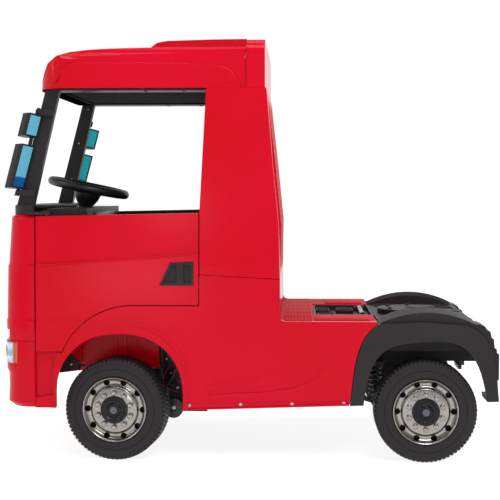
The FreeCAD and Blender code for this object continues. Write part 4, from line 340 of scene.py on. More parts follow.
def rib_faces(bm, blocks_only):
    chosen = []
    for face in bm.faces:
        middle = face.calc_center_median()
        if hypot(middle.x, middle.z) < SHOULDER_LOW_R:
            continue
        if not any(low < abs(middle.y) < high for low, high in RIBS):
            continue
        step = atan2(middle.x, middle.z) / (2.0 * pi) * TREAD_BLOCKS
        shift = 0.5 if STAGGERED_RIB[0] < abs(middle.y) < STAGGERED_RIB[1] else 0.0
        if blocks_only and (step + shift) % 1.0 > BLOCK_SHARE:
            continue
        if face.normal.dot(Vector((middle.x, 0.0, middle.z)).normalized()) > OUTWARD_SHARE:
            chosen.append(face)
    return chosen


def new_verts(out):
    return [g for g in out["geom"] if isinstance(g, bmesh.types.BMVert)]


def lift(bm, faces, height):
    out = bmesh.ops.extrude_face_region(bm, geom=faces)
    bmesh.ops.delete(bm, geom=faces, context="FACES")
    for vert in new_verts(out):
        radius = hypot(vert.co.x, vert.co.z)
        vert.co.x *= (radius + height) / radius
        vert.co.z *= (radius + height) / radius


tyre_bm.normal_update()
lift(tyre_bm, rib_faces(tyre_bm, False), TREAD_DEPTH - NOTCH_DEPTH)
tyre_bm.normal_update()
lift(tyre_bm, rib_faces(tyre_bm, True), NOTCH_DEPTH)
outward(tyre_bm)
on_each_wheel("tyre_with_tread", tyre_bm, tyre_plastic, "tyre")

# The rims: moulded in one piece, with a bright lip, a dish pierced by ten oval hand holes and a
# slightly domed disc that carries ten false wheel nuts, each in a fine groove. The plastic is plated
# with a thin layer of metal, a little dull and warm. A black inner wall closes the wheel behind it.

NUTS = 10
NUT_CIRCLE_R = 0.046
HOLE_CIRCLE_R = 0.0735
HOLE_ACROSS = 0.007
HOLE_ALONG = 0.0085
HOLE_MIDDLE_Y = 0.032
HOLE_CUTTER_LONG = 0.06
rim_profile = [(0.0385, 0.0868), (0.0424, 0.0866), (0.0436, 0.0856), (0.044, 0.0844), (0.0434, 0.0832),
               (0.0418, 0.082), (0.0384, 0.0808), (0.035, 0.0794), (0.0322, 0.0768), (0.0306, 0.0734),
               (0.0302, 0.07), (0.0308, 0.0668), (0.0324, 0.0642), (0.035, 0.0624), (0.0374, 0.0614),
               (0.0386, 0.0606), (0.0394, 0.0594), (0.0405, 0.054), (0.0414, 0.047), (0.042, 0.04),
               (0.0423, 0.0345), (0.0423, 0.03), (0.028, 0.03), (0.028, 0.072), (0.03, 0.079),
               (0.032, 0.0806), (-0.038, 0.0806), (-0.038, 0.0868)]


def plated(name, low, high, dark, light):
    mat = new_material(name)
    place = add(mat, "ShaderNodeTexCoord")
    haze = add(mat, "ShaderNodeTexNoise", [("Scale", 60.0), ("Detail", 5.0)],
               [("Vector", place.outputs["Object"])])
    dull = add(mat, "ShaderNodeMapRange", [("To Min", low), ("To Max", high)],
               [("Value", haze.outputs["Fac"])])
    metal = add(mat, "ShaderNodeBsdfPrincipled", [("Metallic", 1.0)],
                [("Base Color", shade(mat, haze.outputs["Fac"], dark, light)),
                 ("Roughness", dull.outputs["Result"])])
    return finish_material(mat, metal)


def pierced(bm, cutters, name):
    blank = new_object(name, mesh_of(name, bm))
    tool = new_object(name + "_tool", mesh_of(name + "_tool", cutters))
    cut = blank.modifiers.new("cut", "BOOLEAN")
    cut.operation = "DIFFERENCE"
    cut.solver = "EXACT"
    cut.object = tool
    bpy.context.view_layer.update()
    done = bmesh.new()
    done.from_object(blank, bpy.context.evaluated_depsgraph_get())
    for thing in (blank, tool):
        bpy.data.objects.remove(thing)
    return done


def round_bar(bm, radius, top_radius, depth, matrix, segments=24):
    return bmesh.ops.create_cone(bm, cap_ends=True, segments=segments, radius1=radius, radius2=top_radius,
                                 depth=depth, matrix=matrix)


def take_in(bm, part, place=Matrix()):
    mesh = bpy.data.meshes.new("part")
    part.to_mesh(mesh)
    mesh.transform(place)
    bm.from_mesh(mesh)
    bpy.data.meshes.remove(mesh)


def take_all(bm, part, places=(Matrix(),)):
    for place in places:
        take_in(bm, part, place)
    part.free()


plating = plated("satin_plated_abs", 0.1, 0.18, "#86837D", "#AAA69F")
lie = Matrix.Rotation(radians(-90.0), 4, "X")
rim_bm = spun(rim_profile, 120)
holes = bmesh.new()
groove = spun([(0.0392, 0.0073), (0.0392, 0.0091), (0.045, 0.0091), (0.045, 0.0073)], 28)
nut = spun([(0.0395, 0.0), (0.0395, 0.0069), (0.0444, 0.0069), (0.046, 0.006), (0.047, 0.0043),
            (0.0472, 0.003), (0.0464, 0.002), (0.0464, 0.0)], 24)
nut_places = [Matrix.Rotation(2.0 * pi * n / NUTS, 4, "Y")
              @ moved_to((0.0, 0.0, NUT_CIRCLE_R)) for n in range(NUTS)]
oval = Matrix.Diagonal((HOLE_ALONG / HOLE_ACROSS, 1.0, 1.0, 1.0))
for n in range(NUTS):
    spoke = Matrix.Rotation(2.0 * pi * (n + 0.5) / NUTS, 4, "Y")
    round_bar(holes, HOLE_ACROSS, HOLE_ACROSS, HOLE_CUTTER_LONG,
              spoke @ moved_to((0.0, HOLE_MIDDLE_Y, HOLE_CIRCLE_R)) @ oval @ lie, 28)
    take_in(holes, groove, nut_places[n])
rim_bm = pierced(rim_bm, holes, "rim_blank")
groove.free()
take_all(rim_bm, nut, nut_places)
on_each_wheel("plated_rim", rim_bm, plating, "rim")
inner_wall = spun([(0.012, 0.03), (0.012, 0.079), (0.015, 0.0808), (0.011, 0.0808), (0.008, 0.079),
                   (0.008, 0.03)], 72)
on_each_wheel("rim_inner_wall", inner_wall, tyre_plastic)

# The hub caps: black discs with a stepped ring, ten small studs and a grey knob in the middle.
# They are moulded apart and snap into the rim over the axle's end.
# Glossier than the tyre, so the rings draw thin bright circles.

CAP_STUDS = 10
cap_profile = [(0.036, 0.0), (0.036, 0.0295), (0.0424, 0.03), (0.0424, 0.0366), (0.0444, 0.037),
               (0.046, 0.0362), (0.0466, 0.0345), (0.0466, 0.0272), (0.0454, 0.0256), (0.045, 0.02),
               (0.046, 0.0186), (0.0488, 0.0172), (0.05, 0.016), (0.0504, 0.0146), (0.05, 0.0128),
               (0.0484, 0.0118), (0.0484, 0.0)]
cap_plastic = moulded("polished_black_polypropylene", "#09080A", "#100F11", 0.2, 0.04, 300.0, 0.00004, 0.3)
knob_plastic = moulded("grey_polypropylene", "#4F4E5A", "#5C5B68", 0.35, 0.05, 300.0, 0.00004, 0.4)
cap_bm = spun(cap_profile, 72)
for n in range(CAP_STUDS):
    stud = Matrix.Rotation(2.0 * pi * n / CAP_STUDS, 4, "Y")
    round_bar(cap_bm, 0.0028, 0.002, 0.0024, stud @ moved_to((0.0, 0.0474, 0.0308)) @ lie, 12)
knob_bm = bmesh.new()
round_bar(knob_bm, 0.0094, 0.0094, 0.003, moved_to((0.0, 0.0495, 0.0)) @ lie, 40)
round_bar(knob_bm, 0.0056, 0.0048, 0.0016, moved_to((0.0, 0.0517, 0.0)) @ lie, 6)
on_each_wheel("hub_cap", cap_bm, cap_plastic, "cap")
on_each_wheel("hub_knob", knob_bm, knob_plastic)

# The steel of the running gear: beam, knuckles, tie rod and steering rod are black lacquered steel,
# cut, bent and welded, with the slight waviness of a dipped coat. The pivot rod ends in zinc-plated
# hex bolts on broad washers, outside the swing arms.

STEEL_PARTS = ("front_beam", "knuckle_left", "knuckle_right", "tie_rod", "steering_rod", "pivot_rod",
               "rear_axle")
BOLT_AT = (0.208, 0.172, 0.115)
lacquer = moulded("black_lacquered_steel", "#151415", "#1D1B1C", 0.3, 0.08, 300.0, 0.00005, 0.5)
zinc = plated("zinc_plated_steel", 0.22, 0.36, "#A2A4A8", "#C4C6C8")
dress(lacquer, STEEL_PARTS)
washers = bmesh.new()
bolts = bmesh.new()
x, y, z = BOLT_AT
for out in (-1.0, 1.0):
    round_bar(washers, 0.0125, 0.0125, 0.0016, moved_to((x, out * (y + 0.0006), z)) @ lie, 32)
    round_bar(bolts, 0.0068, 0.0062, 0.004, moved_to((x, out * (y + 0.003), z)) @ lie, 6)
make_piece("pivot_washers", washers, lacquer)
make_piece("pivot_bolts", bolts, zinc)

# The springs: wound from round steel wire and lacquered black, each round a guide rod between two
# cupped plates. They stand between the axles and the floor of the body.

WIRE_R = 0.003
COIL_R = 0.014
STEPS_PER_TURN = 28
GUIDE_R = 0.006
CUP_R = 0.017
CUP_T = 0.0024
SEAT_Z = 0.149
FRONT_SPRING_Y, FRONT_SPRING_TOP_Z, FRONT_TURNS = 0.11, 0.225, 5
REAR_SPRING_Y, REAR_SPRING_TOP_Z, REAR_TURNS = 0.201, 0.245, 7


def coil(x, y, z0, z1, turns):
    bm = bmesh.new()
    ring = bmesh.ops.create_circle(bm, segments=10, radius=WIRE_R,
                                   matrix=moved_to((COIL_R, 0.0, WIRE_R))
                                   @ Matrix.Rotation(radians(90.0), 4, "X"))
    rise = (z1 - z0 - 2.0 * WIRE_R) / (turns * STEPS_PER_TURN)
    bmesh.ops.spin(bm, geom=ring["verts"] + list(bm.edges), cent=(0.0, 0.0, 0.0), axis=(0.0, 0.0, 1.0),
                   dvec=(0.0, 0.0, rise), angle=2.0 * pi * turns, steps=turns * STEPS_PER_TURN)
    bmesh.ops.holes_fill(bm, edges=bm.edges)
    outward(bm)
    round_bar(bm, GUIDE_R, GUIDE_R, z1 - z0, moved_to((0.0, 0.0, (z1 - z0) * 0.5)), 20)
    for z in (CUP_T * 0.5, z1 - z0 - CUP_T * 0.5):
        round_bar(bm, CUP_R, CUP_R, CUP_T, moved_to((0.0, 0.0, z)), 28)
    bm.transform(moved_to((x, y, z0)))
    return bm


all_springs = bmesh.new()
front_x = joints["steer_left"]["pos_m"][0]
rear_x = Vector(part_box("springs")[0]).x + CUP_R
for side in (-1.0, 1.0):
    take_all(all_springs, coil(front_x, side * FRONT_SPRING_Y, SEAT_Z, FRONT_SPRING_TOP_Z, FRONT_TURNS))
    take_all(all_springs, coil(rear_x, side * REAR_SPRING_Y, SEAT_Z, REAR_SPRING_TOP_Z, REAR_TURNS))
coils = make_piece("coil_springs", all_springs, lacquer, smooth_deg=40.0)
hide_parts("springs")

# The brackets behind and ahead of the front wheels: black steel plates with raised ribs on the face of
# the spine, and a cranked plate under the nose of the footwell. Small zinc-plated screws hold them,
# and two thin red wires in soft plastic sleeve run down to the rear drives in clips.

SPINE_FACE_Y = 0.118
PLATE_FROM_X, PLATE_TO_X = 0.146, 0.24
PLATES_Z = ((0.17, 0.26), (0.284, 0.338))
PLATE_PROUD = 0.002
PLATE_RIBS_X = (0.152, 0.178, 0.246)
PLATE_RIB_PROUD = 0.012
LEANING_RIB_DEG = -28.0
STEEL_ROUND_M = 0.0012
PLATE_SCREWS = ((0.234, 0.244), (0.221, 0.204), (0.209, 0.211), (0.203, 0.163), (0.16, 0.3),
                (0.232, 0.32))
TOE_SCREW_AT = (0.497, 0.154, 0.232)
TOE_PLATE = ((0.531, 0.207), (0.522, 0.231), (0.503, 0.262), (0.486, 0.25), (0.477, 0.24), (0.477, 0.214))
TOE_PLATE_W = 0.036


def round_off(bm, verts, radius, segments):
    edges = list(dict.fromkeys(edge for vert in verts for edge in vert.link_edges))
    bmesh.ops.bevel(bm, geom=edges, offset=radius, segments=segments, profile=0.5, affect="EDGES",
                    material=-1)


def soft_block(bm, low, high, radius, place=Matrix()):
    size = Vector(high) - Vector(low)
    middle = (Vector(high) + Vector(low)) * 0.5
    verts = bmesh.ops.create_cube(bm, size=1.0)["verts"]
    bmesh.ops.scale(bm, vec=size, verts=verts)
    bmesh.ops.transform(bm, matrix=moved_to(middle) @ place, verts=verts)
    round_off(bm, verts, radius, 2)


def both_sides(bm):
    bmesh.ops.mirror(bm, geom=bm.verts[:] + bm.edges[:] + bm.faces[:], matrix=Matrix(),
                     merge_dist=0.0, axis="Y")
    return outward(bm)


def screw_head(radius):
    return spun([(-0.001, 0.0), (-0.001, radius), (0.0005, radius), (0.0018, radius * 0.78),
                 (0.0024, radius * 0.45), (0.0012, radius * 0.38), (0.0012, 0.0)], 20)


def tube(points, radius, sides=8):
    line = bpy.data.curves.new("line", "CURVE")
    line.dimensions = "3D"
    line.bevel_depth = radius
    line.bevel_resolution = sides // 4
    line.use_fill_caps = True
    line.resolution_u = 10
    spline = line.splines.new("NURBS")
    spline.points.add(len(points) - 1)
    for point, co in zip(spline.points, points):
        point.co = tuple(co) + (1.0,)
    spline.order_u = 3
    spline.use_endpoint_u = True
    holder = bpy.data.objects.new("line", line)
    mesh = bpy.data.meshes.new_from_object(holder)
    bpy.data.objects.remove(holder)
    bm = bmesh.new()
    bm.from_mesh(mesh)
    bpy.data.meshes.remove(mesh)
    return outward(bm)


def screws(name, radius, places, turned=Matrix()):
    bm = bmesh.new()
    take_all(bm, screw_head(radius), [moved_to(place) @ turned for place in places])
    make_piece(name, both_sides(bm), zinc)


brackets = bmesh.new()
sunk_y = SPINE_FACE_Y - 0.001
for low_z, high_z in PLATES_Z:
    soft_block(brackets, (PLATE_FROM_X, sunk_y, low_z), (PLATE_TO_X, SPINE_FACE_Y + PLATE_PROUD, high_z),
               STEEL_ROUND_M)
for x in PLATE_RIBS_X:
    soft_block(brackets, (x - 0.003, sunk_y, 0.162), (x + 0.003, SPINE_FACE_Y + PLATE_RIB_PROUD, 0.344),
               STEEL_ROUND_M)
soft_block(brackets, (0.206, sunk_y, 0.17), (0.214, SPINE_FACE_Y + 0.009, 0.25), STEEL_ROUND_M,
           Matrix.Rotation(radians(LEANING_RIB_DEG), 4, "Y"))
toe_face = brackets.faces.new([brackets.verts.new((x, SPINE_FACE_Y, z)) for x, z in TOE_PLATE])
walls = bmesh.ops.extrude_face_region(brackets, geom=[toe_face])
bmesh.ops.translate(brackets, vec=(0.0, TOE_PLATE_W, 0.0), verts=new_verts(walls))
make_piece("wheel_bay_brackets", both_sides(brackets), lacquer)
screws("wheel_bay_screws", 0.004,
       [(x, SPINE_FACE_Y + 0.003, z) for x, z in PLATE_SCREWS] + [TOE_SCREW_AT])

wire_sleeve = moulded("red_vinyl_wire_sleeve", "#8E0A14", "#A50E18", 0.35, 0.05, 300.0, 0.00003, 0.4)
WIRE_SLEEVE_R = 0.001
WIRE_RUNS = (((0.214, 0.1215, 0.252), (0.215, 0.127, 0.238), (0.229, 0.131, 0.218), (0.24, 0.131, 0.198),
              (0.243, 0.131, 0.182), (0.238, 0.131, 0.168), (0.222, 0.128, 0.156), (0.206, 0.1215, 0.15)),
             ((0.213, 0.1215, 0.226), (0.212, 0.126, 0.216), (0.211, 0.128, 0.2), (0.203, 0.127, 0.184),
              (0.198, 0.1215, 0.176)))
wires = bmesh.new()
for run in WIRE_RUNS:
    take_all(wires, tube(run, WIRE_SLEEVE_R))
make_piece("drive_wires_in_clips", both_sides(wires), wire_sleeve)

# The fixings of the body: zinc-plated pan-head screws along the skirts' flanges, which end in a rolled lip,
# and inside the windscreen pillars, and black clips that hold the roof's lining to its flange. Two long
# black strips under the roof's flange, along each side and across the front, are a dark sheet put there as
# painted shade under the roof.

SKIRT_SCREWS = ((0.151, 0.15), (0.015, 0.153), (-0.12, 0.1555), (-0.256, 0.159))
SKIRT_FACE_Y = 0.332
PILLAR_SCREWS = ((0.517, 0.968), (0.547, 0.862), (0.57, 0.751))
PILLAR_INNER_Y = 0.259
SKIRT_LIP_Y = 0.3335
SKIRT_LIP_R = 0.0021
SKIRT_LIP = ((0.151, 0.14), (0.05, 0.1445), (-0.1, 0.1505), (-0.268, 0.157))
ROOF_FLANGE_LOW_Z, ROOF_FLANGE_TOP_Z = 0.979, 0.9836
ROOF_CLIPS_X = (0.27, 0.168)
ROOF_CLIP_HALF_W = 0.0048
CLIP_ROUND_M = 0.0012
screws("skirt_screws", 0.0048, [(x, SKIRT_FACE_Y, z) for x, z in SKIRT_SCREWS])
screws("pillar_screws", 0.0034, [(x, PILLAR_INNER_Y, z) for x, z in PILLAR_SCREWS],
       Matrix.Rotation(pi, 4, "Z"))
lip = tube([(x, SKIRT_LIP_Y, z) for x, z in SKIRT_LIP], SKIRT_LIP_R, 12)
make_piece("skirt_rolled_lips", both_sides(lip), red_plastic)
lining_clips_and_shade_strips = bmesh.new()
# painted shade: the two long black strips cover the red underside of the roof's flange, a dark sheet where
# there is only shade; the short blocks after them are the clips
soft_block(lining_clips_and_shade_strips, (0.104, 0.236, ROOF_FLANGE_LOW_Z), (0.504, 0.306, ROOF_FLANGE_TOP_Z), CLIP_ROUND_M)
soft_block(lining_clips_and_shade_strips, (0.5, -0.262, ROOF_FLANGE_LOW_Z + 0.0002), (0.549, 0.262, ROOF_FLANGE_TOP_Z),
           CLIP_ROUND_M)
for x in ROOF_CLIPS_X:
    soft_block(lining_clips_and_shade_strips, (x - ROOF_CLIP_HALF_W, 0.25, ROOF_FLANGE_LOW_Z),
               (x + ROOF_CLIP_HALF_W, 0.314, ROOF_FLANGE_TOP_Z + 0.0012), CLIP_ROUND_M)
make_piece("roof_lining_clips_and_painted_shade_strips", both_sides(lining_clips_and_shade_strips), black_plastic)

# The moulded lines of the body: rolled lips and soft beads that stiffen the thin walls. They run round
# the opening over the front wheel, along the crease of each door and round the roof's flank and band,
# are part of the red mouldings, and throw a thin line of light along each form.

ARCH_X, ARCH_HALF_W, ARCH_TOP_Z, ARCH_R = 0.335, 0.1702, 0.3402, 0.1512
ARCH_FACE_Y = 0.3362
ARCH_BEAD_R = 0.0022
FLANK_FACE_Y = 0.3156
FLANK_BEAD_R = 0.004
FLANK_RUN = ((0.505, 1.001), (0.492, 1.024), (0.473, 1.04), (0.445, 1.048), (0.4, 1.0487),
             (0.365, 1.049), (0.177, 1.047), (0.11, 1.0445), (0.07, 1.042), (0.037, 1.024),
             (0.021, 1.003), (0.0175, 0.988))
CREASE_Y = 0.3324
CREASE_R = 0.003
CREASE_RUN = ((0.55, 0.5195), (0.4, 0.5295), (0.232, 0.541), (0.172, 0.547), (0.131, 0.551))
arch_run = [(ARCH_X - ARCH_HALF_W, 0.14), (ARCH_X - ARCH_HALF_W, 0.165)]
for side in (-1.0, 1.0):
    corner_x = ARCH_X + side * (ARCH_HALF_W - ARCH_R)
    for n in range(7):
        turned = pi * (1.0 - n / 12.0 if side < 0.0 else 0.5 - n / 12.0)
        arch_run.append((corner_x + ARCH_R * cos(turned), ARCH_TOP_Z - ARCH_R + ARCH_R * sin(turned)))
arch_run += [(ARCH_X + ARCH_HALF_W, 0.165), (ARCH_X + ARCH_HALF_W, 0.145)]
lines = bmesh.new()
take_all(lines, tube([(x, ARCH_FACE_Y, z) for x, z in arch_run], ARCH_BEAD_R, 16))
take_all(lines, tube([(x, FLANK_FACE_Y, z) for x, z in FLANK_RUN], FLANK_BEAD_R, 16))
make_piece("body_lips_and_beads", both_sides(lines), red_plastic, smooth_deg=50.0)
for name, side in (("left", 1.0), ("right", -1.0)):
    crease = tube([(x, side * CREASE_Y, z) for x, z in CREASE_RUN], CREASE_R, 16)
    make_piece("door_crease_" + name, crease, red_plastic, "door_" + name + "_body", 50.0)

# The steering wheel: a round rim with three flat spokes and a deep hub, moulded in black plastic with
# a fine grain. It is pushed onto the steering rod and held by one screw, over a collar on the dashboard.

GRIP_R = 0.106
GRIP_TUBE_R = 0.0125
SPOKES_DEG = (90.0, 210.0, 330.0)
SPOKES_TURN_DEG = 12.0
SPOKE_ROUND_M = 0.0032
COLLAR_AT = (0.4836, 0.668)
wheel_tilt = Vector(joints["steering_wheel_turn"]["axis"])
wheel_middle = Vector(joints["steering_wheel_turn"]["pos_m"])
grip_profile = [(GRIP_TUBE_R * sin(2.0 * pi * i / 16), GRIP_R + GRIP_TUBE_R * cos(2.0 * pi * i / 16))
                for i in range(16)]
wheel_bm = spun(grip_profile, 96)
hub_profile = [(0.006, 0.0), (0.0058, 0.024), (0.003, 0.032), (-0.004, 0.038), (-0.016, 0.039),
               (-0.034, 0.033), (-0.048, 0.024), (-0.05, 0.02), (-0.05, 0.0)]
take_all(wheel_bm, spun(hub_profile, 48))
for deg in SPOKES_DEG:
    spoke = bmesh.ops.create_cube(wheel_bm, size=1.0)["verts"]
    for vert in spoke:
        outer = vert.co.x > 0.0
        vert.co = Vector((0.101 if outer else 0.015, vert.co.z * (0.008 if outer else 0.011)
                          - (0.001 if outer else 0.016), vert.co.y * (0.024 if outer else 0.034)))
    bmesh.ops.rotate(wheel_bm, verts=spoke, cent=(0.0, 0.0, 0.0),
                     matrix=Matrix.Rotation(radians(-deg + SPOKES_TURN_DEG), 3, "Y"))
    round_off(wheel_bm, spoke, SPOKE_ROUND_M, 3)
swing = Vector((0.0, 1.0, 0.0)).rotation_difference(wheel_tilt).to_matrix().to_4x4()
wheel_bm.transform(moved_to(wheel_middle) @ swing)
grip_plastic = moulded("fine_grained_black_polypropylene", "#1B1A1C", "#232224", 0.36, 0.05, 700.0,
                       0.00005, 0.35)
steering = make_piece("steering_wheel_moulding", wheel_bm, grip_plastic, "steering", 40.0)
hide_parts("steering_wheel")
collar = spun([(0.0, 0.0085), (0.0, 0.026), (0.003, 0.0265), (0.006, 0.02), (0.009, 0.0225),
               (0.012, 0.0175), (0.015, 0.0195), (0.0175, 0.015), (0.0175, 0.0085)], 48)
collar.transform(moved_to((COLLAR_AT[0], 0.0, COLLAR_AT[1])) @ swing)
make_piece("steering_rod_collar", collar, grip_plastic)

# The dashboard's face: two round dials in raised bezels, a row of push buttons and a start key, all
# moulded in black and snapped into the panel from the front. The dials are blank grey discs.

DASH_FACE_X = 0.428
DIALS_Y = (-0.036, 0.036)
DIALS_Z = 0.619
BUTTON_PITCH = 0.018
FIRST_BUTTON_Y = -0.092
BUTTON_HALF_W = 0.0065
KEY_Y = 0.112
panel_x = DASH_FACE_X - 0.004
face_rear = Matrix.Rotation(radians(90.0), 4, "Z")
dial_places = [moved_to((panel_x, y, DIALS_Z)) @ face_rear for y in DIALS_Y]
fittings = bmesh.new()
soft_block(fittings, (panel_x, -0.165, 0.578), (DASH_FACE_X + 0.001, 0.165, 0.656), 0.002)
take_all(fittings, spun([(-0.001, 0.0215), (-0.001, 0.0275), (0.004, 0.027), (0.005, 0.0245),
                         (0.003, 0.0215)], 48), dial_places)
for n in range(4):
    y = FIRST_BUTTON_Y - BUTTON_PITCH * n
    soft_block(fittings, (DASH_FACE_X - 0.0075, y - BUTTON_HALF_W, 0.612),
               (DASH_FACE_X - 0.003, y + BUTTON_HALF_W, 0.625), 0.0016)
take_all(fittings, spun([(-0.001, 0.0), (-0.001, 0.013), (0.003, 0.0125), (0.004, 0.0095),
                         (0.009, 0.0088), (0.0095, 0.0)], 32),
         [moved_to((panel_x, KEY_Y, DIALS_Z)) @ face_rear])
soft_block(fittings, (DASH_FACE_X - 0.026, KEY_Y - 0.0015, 0.608),
           (DASH_FACE_X - 0.012, KEY_Y + 0.0015, 0.63), 0.0012)
make_piece("dashboard_fittings", fittings, grip_plastic)
dials = bmesh.new()
take_all(dials, spun([(-0.001, 0.0), (-0.001, 0.0216), (0.0012, 0.0216), (0.0012, 0.0)], 40), dial_places)
make_piece("dial_faces", dials, knob_plastic)

# The cab's inside: a rubber mat with raised bars lies in the footwell, the pedal has a ribbed rubber
# face, and each door carries a bowed pull handle and a small black seal on its upper front corner.

MAT_REAR_X, MAT_FRONT_X, MAT_HALF_W, MAT_Z = 0.262, 0.44, 0.145, 0.231
MAT_T = 0.0022
MAT_BARS = 11
BAR_PITCH = 0.0154
PEDAL_FROM_Y, PEDAL_TO_Y = -0.096, -0.044
PEDAL_SLOPE_DEG = -61.0
PEDAL_RUN_X, PEDAL_FOOT_Z, PEDAL_RISE_Z = 0.046, 0.242, 0.068
PULL_R = 0.0065
PULL_RUN = ((0.25, 0.306, 0.594), (0.251, 0.29, 0.594), (0.262, 0.284, 0.596), (0.3, 0.282, 0.598),
            (0.338, 0.284, 0.6), (0.349, 0.29, 0.6), (0.35, 0.306, 0.6))
SEAL_INNER_Y, SEAL_OUTER_Y = 0.3255, 0.3275
mat_rubber = moulded("black_footwell_rubber", "#1A1A1B", "#222122", 0.6, 0.06, 500.0, 0.0001, 0.2)
mat_bm = bmesh.new()
soft_block(mat_bm, (MAT_REAR_X, -MAT_HALF_W, MAT_Z), (MAT_FRONT_X, MAT_HALF_W, MAT_Z + MAT_T), 0.0008)
for n in range(MAT_BARS):
    x = MAT_REAR_X + 0.012 + BAR_PITCH * n
    soft_block(mat_bm, (x - 0.002, -MAT_HALF_W + 0.01, MAT_Z + 0.0018),
               (x + 0.002, MAT_HALF_W - 0.01, MAT_Z + 0.0036), 0.0006)
make_piece("footwell_mat", mat_bm, mat_rubber)
pedal_rear_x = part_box("pedal")[0][0]
pedal_slope = Matrix.Rotation(radians(PEDAL_SLOPE_DEG), 4, "Y")
pads = bmesh.new()
for n in range(5):
    part = 0.22 + 0.15 * n
    x = pedal_rear_x + 0.003 + PEDAL_RUN_X * part
    z = PEDAL_FOOT_Z + PEDAL_RISE_Z * part
    soft_block(pads, (x - 0.003, PEDAL_FROM_Y, z - 0.0018), (x + 0.003, PEDAL_TO_Y, z + 0.0018), 0.0008,
               pedal_slope)
make_piece("pedal_ribs", pads, mat_rubber)
for name, side in (("left", 1.0), ("right", -1.0)):
    pull = tube([(x, side * y, z) for x, y, z in PULL_RUN], PULL_R, 12)
    make_piece("door_pull_" + name, pull, grip_plastic, body="door_" + name + "_body")
    low_y, high_y = sorted((side * SEAL_INNER_Y, side * SEAL_OUTER_Y))
    seal = bmesh.new()
    soft_block(seal, (0.5235, low_y, 0.6604), (0.5395, high_y, 0.664), 0.0006)
    make_piece("door_corner_seal_" + name, seal, black_plastic, body="door_" + name + "_body")

# The seat: a cushion and a back of black leatherette over foam, each glued round a board and screwed
# to the seat box. Welded channels run front to back and up the back. The leatherette has a fine pebbled
# grain and a dull sheen, and a thin piping covers the seam round each cushion.

PEBBLE_PER_M = 420.0
CHANNELS_Y = (-0.123, -0.041, 0.041, 0.123)
CHANNEL_DEEP = 0.0055
CHANNEL_WIDE = 0.0075
VOXEL_M = 0.005
CLOTH_FRAMES = 20
SWELL_PRESSURE = 4.0
SWELL_AT_MOST_M = 0.006
PIPING_R = 0.0022
SEAM_SHARES = ((0.0, 0.975), (0.8, 0.975), (0.955, 0.96), (0.965, 0.88), (0.955, 0.0), (0.965, -0.88),
               (0.955, -0.96), (0.8, -0.975), (0.0, -0.975), (-0.8, -0.975), (-0.955, -0.96),
               (-0.965, -0.88), (-0.955, 0.0), (-0.965, 0.88), (-0.955, 0.96), (-0.8, 0.975), (0.0, 0.975))
BACK_LEAN_DEG = 8.0
BACK_LOW = Vector((0.002, 0.0, 0.4053))
BACK_LENGTH = 0.396
BACK_THICK = 0.05
CHANNEL_END_AT = 0.86
CROWN_M = 0.004
WAIST_ALONG, WAIST_ACROSS = 0.012, 0.008
SEAM_AT = 0.62
leather = new_material("black_leatherette")
spot = add(leather, "ShaderNodeTexCoord")
pebbles = add(leather, "ShaderNodeTexVoronoi", [("Scale", PEBBLE_PER_M)],
              [("Vector", spot.outputs["Object"])])
clouds = add(leather, "ShaderNodeTexNoise", [("Scale", 14.0), ("Detail", 4.0)],
             [("Vector", spot.outputs["Object"])])
hide = shade(leather, clouds.outputs["Fac"], "#151517", "#212125")
sheen = add(leather, "ShaderNodeMapRange", [("To Min", 0.38), ("To Max", 0.52)],
            [("Value", pebbles.outputs["Distance"])])
wrinkle = add(leather, "ShaderNodeBump", [("Strength", 0.5), ("Distance", 0.0003)],
              [("Height", pebbles.outputs["Distance"])])
cover = add(leather, "ShaderNodeBsdfPrincipled", [("IOR", 1.5), ("Specular IOR Level", 0.4)],
            [("Base Color", hide), ("Roughness", sheen.outputs["Result"]),
             ("Normal", wrinkle.outputs["Normal"])])
finish_material(leather, cover)


def stuffed(name, bm):
    bag = new_object(name, mesh_of(name, bm))
    weave = bag.modifiers.new("weave", "REMESH")
    weave.mode = "VOXEL"
    weave.voxel_size = VOXEL_M
    bpy.context.view_layer.update()
    bag.data = bpy.data.meshes.new_from_object(bag.evaluated_get(bpy.context.evaluated_depsgraph_get()))
    bag.modifiers.clear()
    before = [vert.co.copy() for vert in bag.data.vertices]
    cloth = bag.modifiers.new("swell", "CLOTH")
    cloth.settings.use_pressure = True
    cloth.settings.uniform_pressure_force = SWELL_PRESSURE
    cloth.settings.effector_weights.gravity = 0.0
    cloth.point_cache.frame_start = 1
    cloth.point_cache.frame_end = CLOTH_FRAMES
    for n in range(1, CLOTH_FRAMES + 1):
        scene.frame_set(n)
    swollen = bpy.data.meshes.new_from_object(bag.evaluated_get(bpy.context.evaluated_depsgraph_get()))
    bag.modifiers.clear()
    scene.frame_set(1)
    bag.data = swollen
    done = bmesh.new()
    done.from_mesh(bag.data)
    for vert, start in zip(done.verts, before):
        move = vert.co - start
        if move.length > SWELL_AT_MOST_M:
            vert.co = start + move.normalized() * SWELL_AT_MOST_M
    bpy.data.objects.remove(bag)
    return done


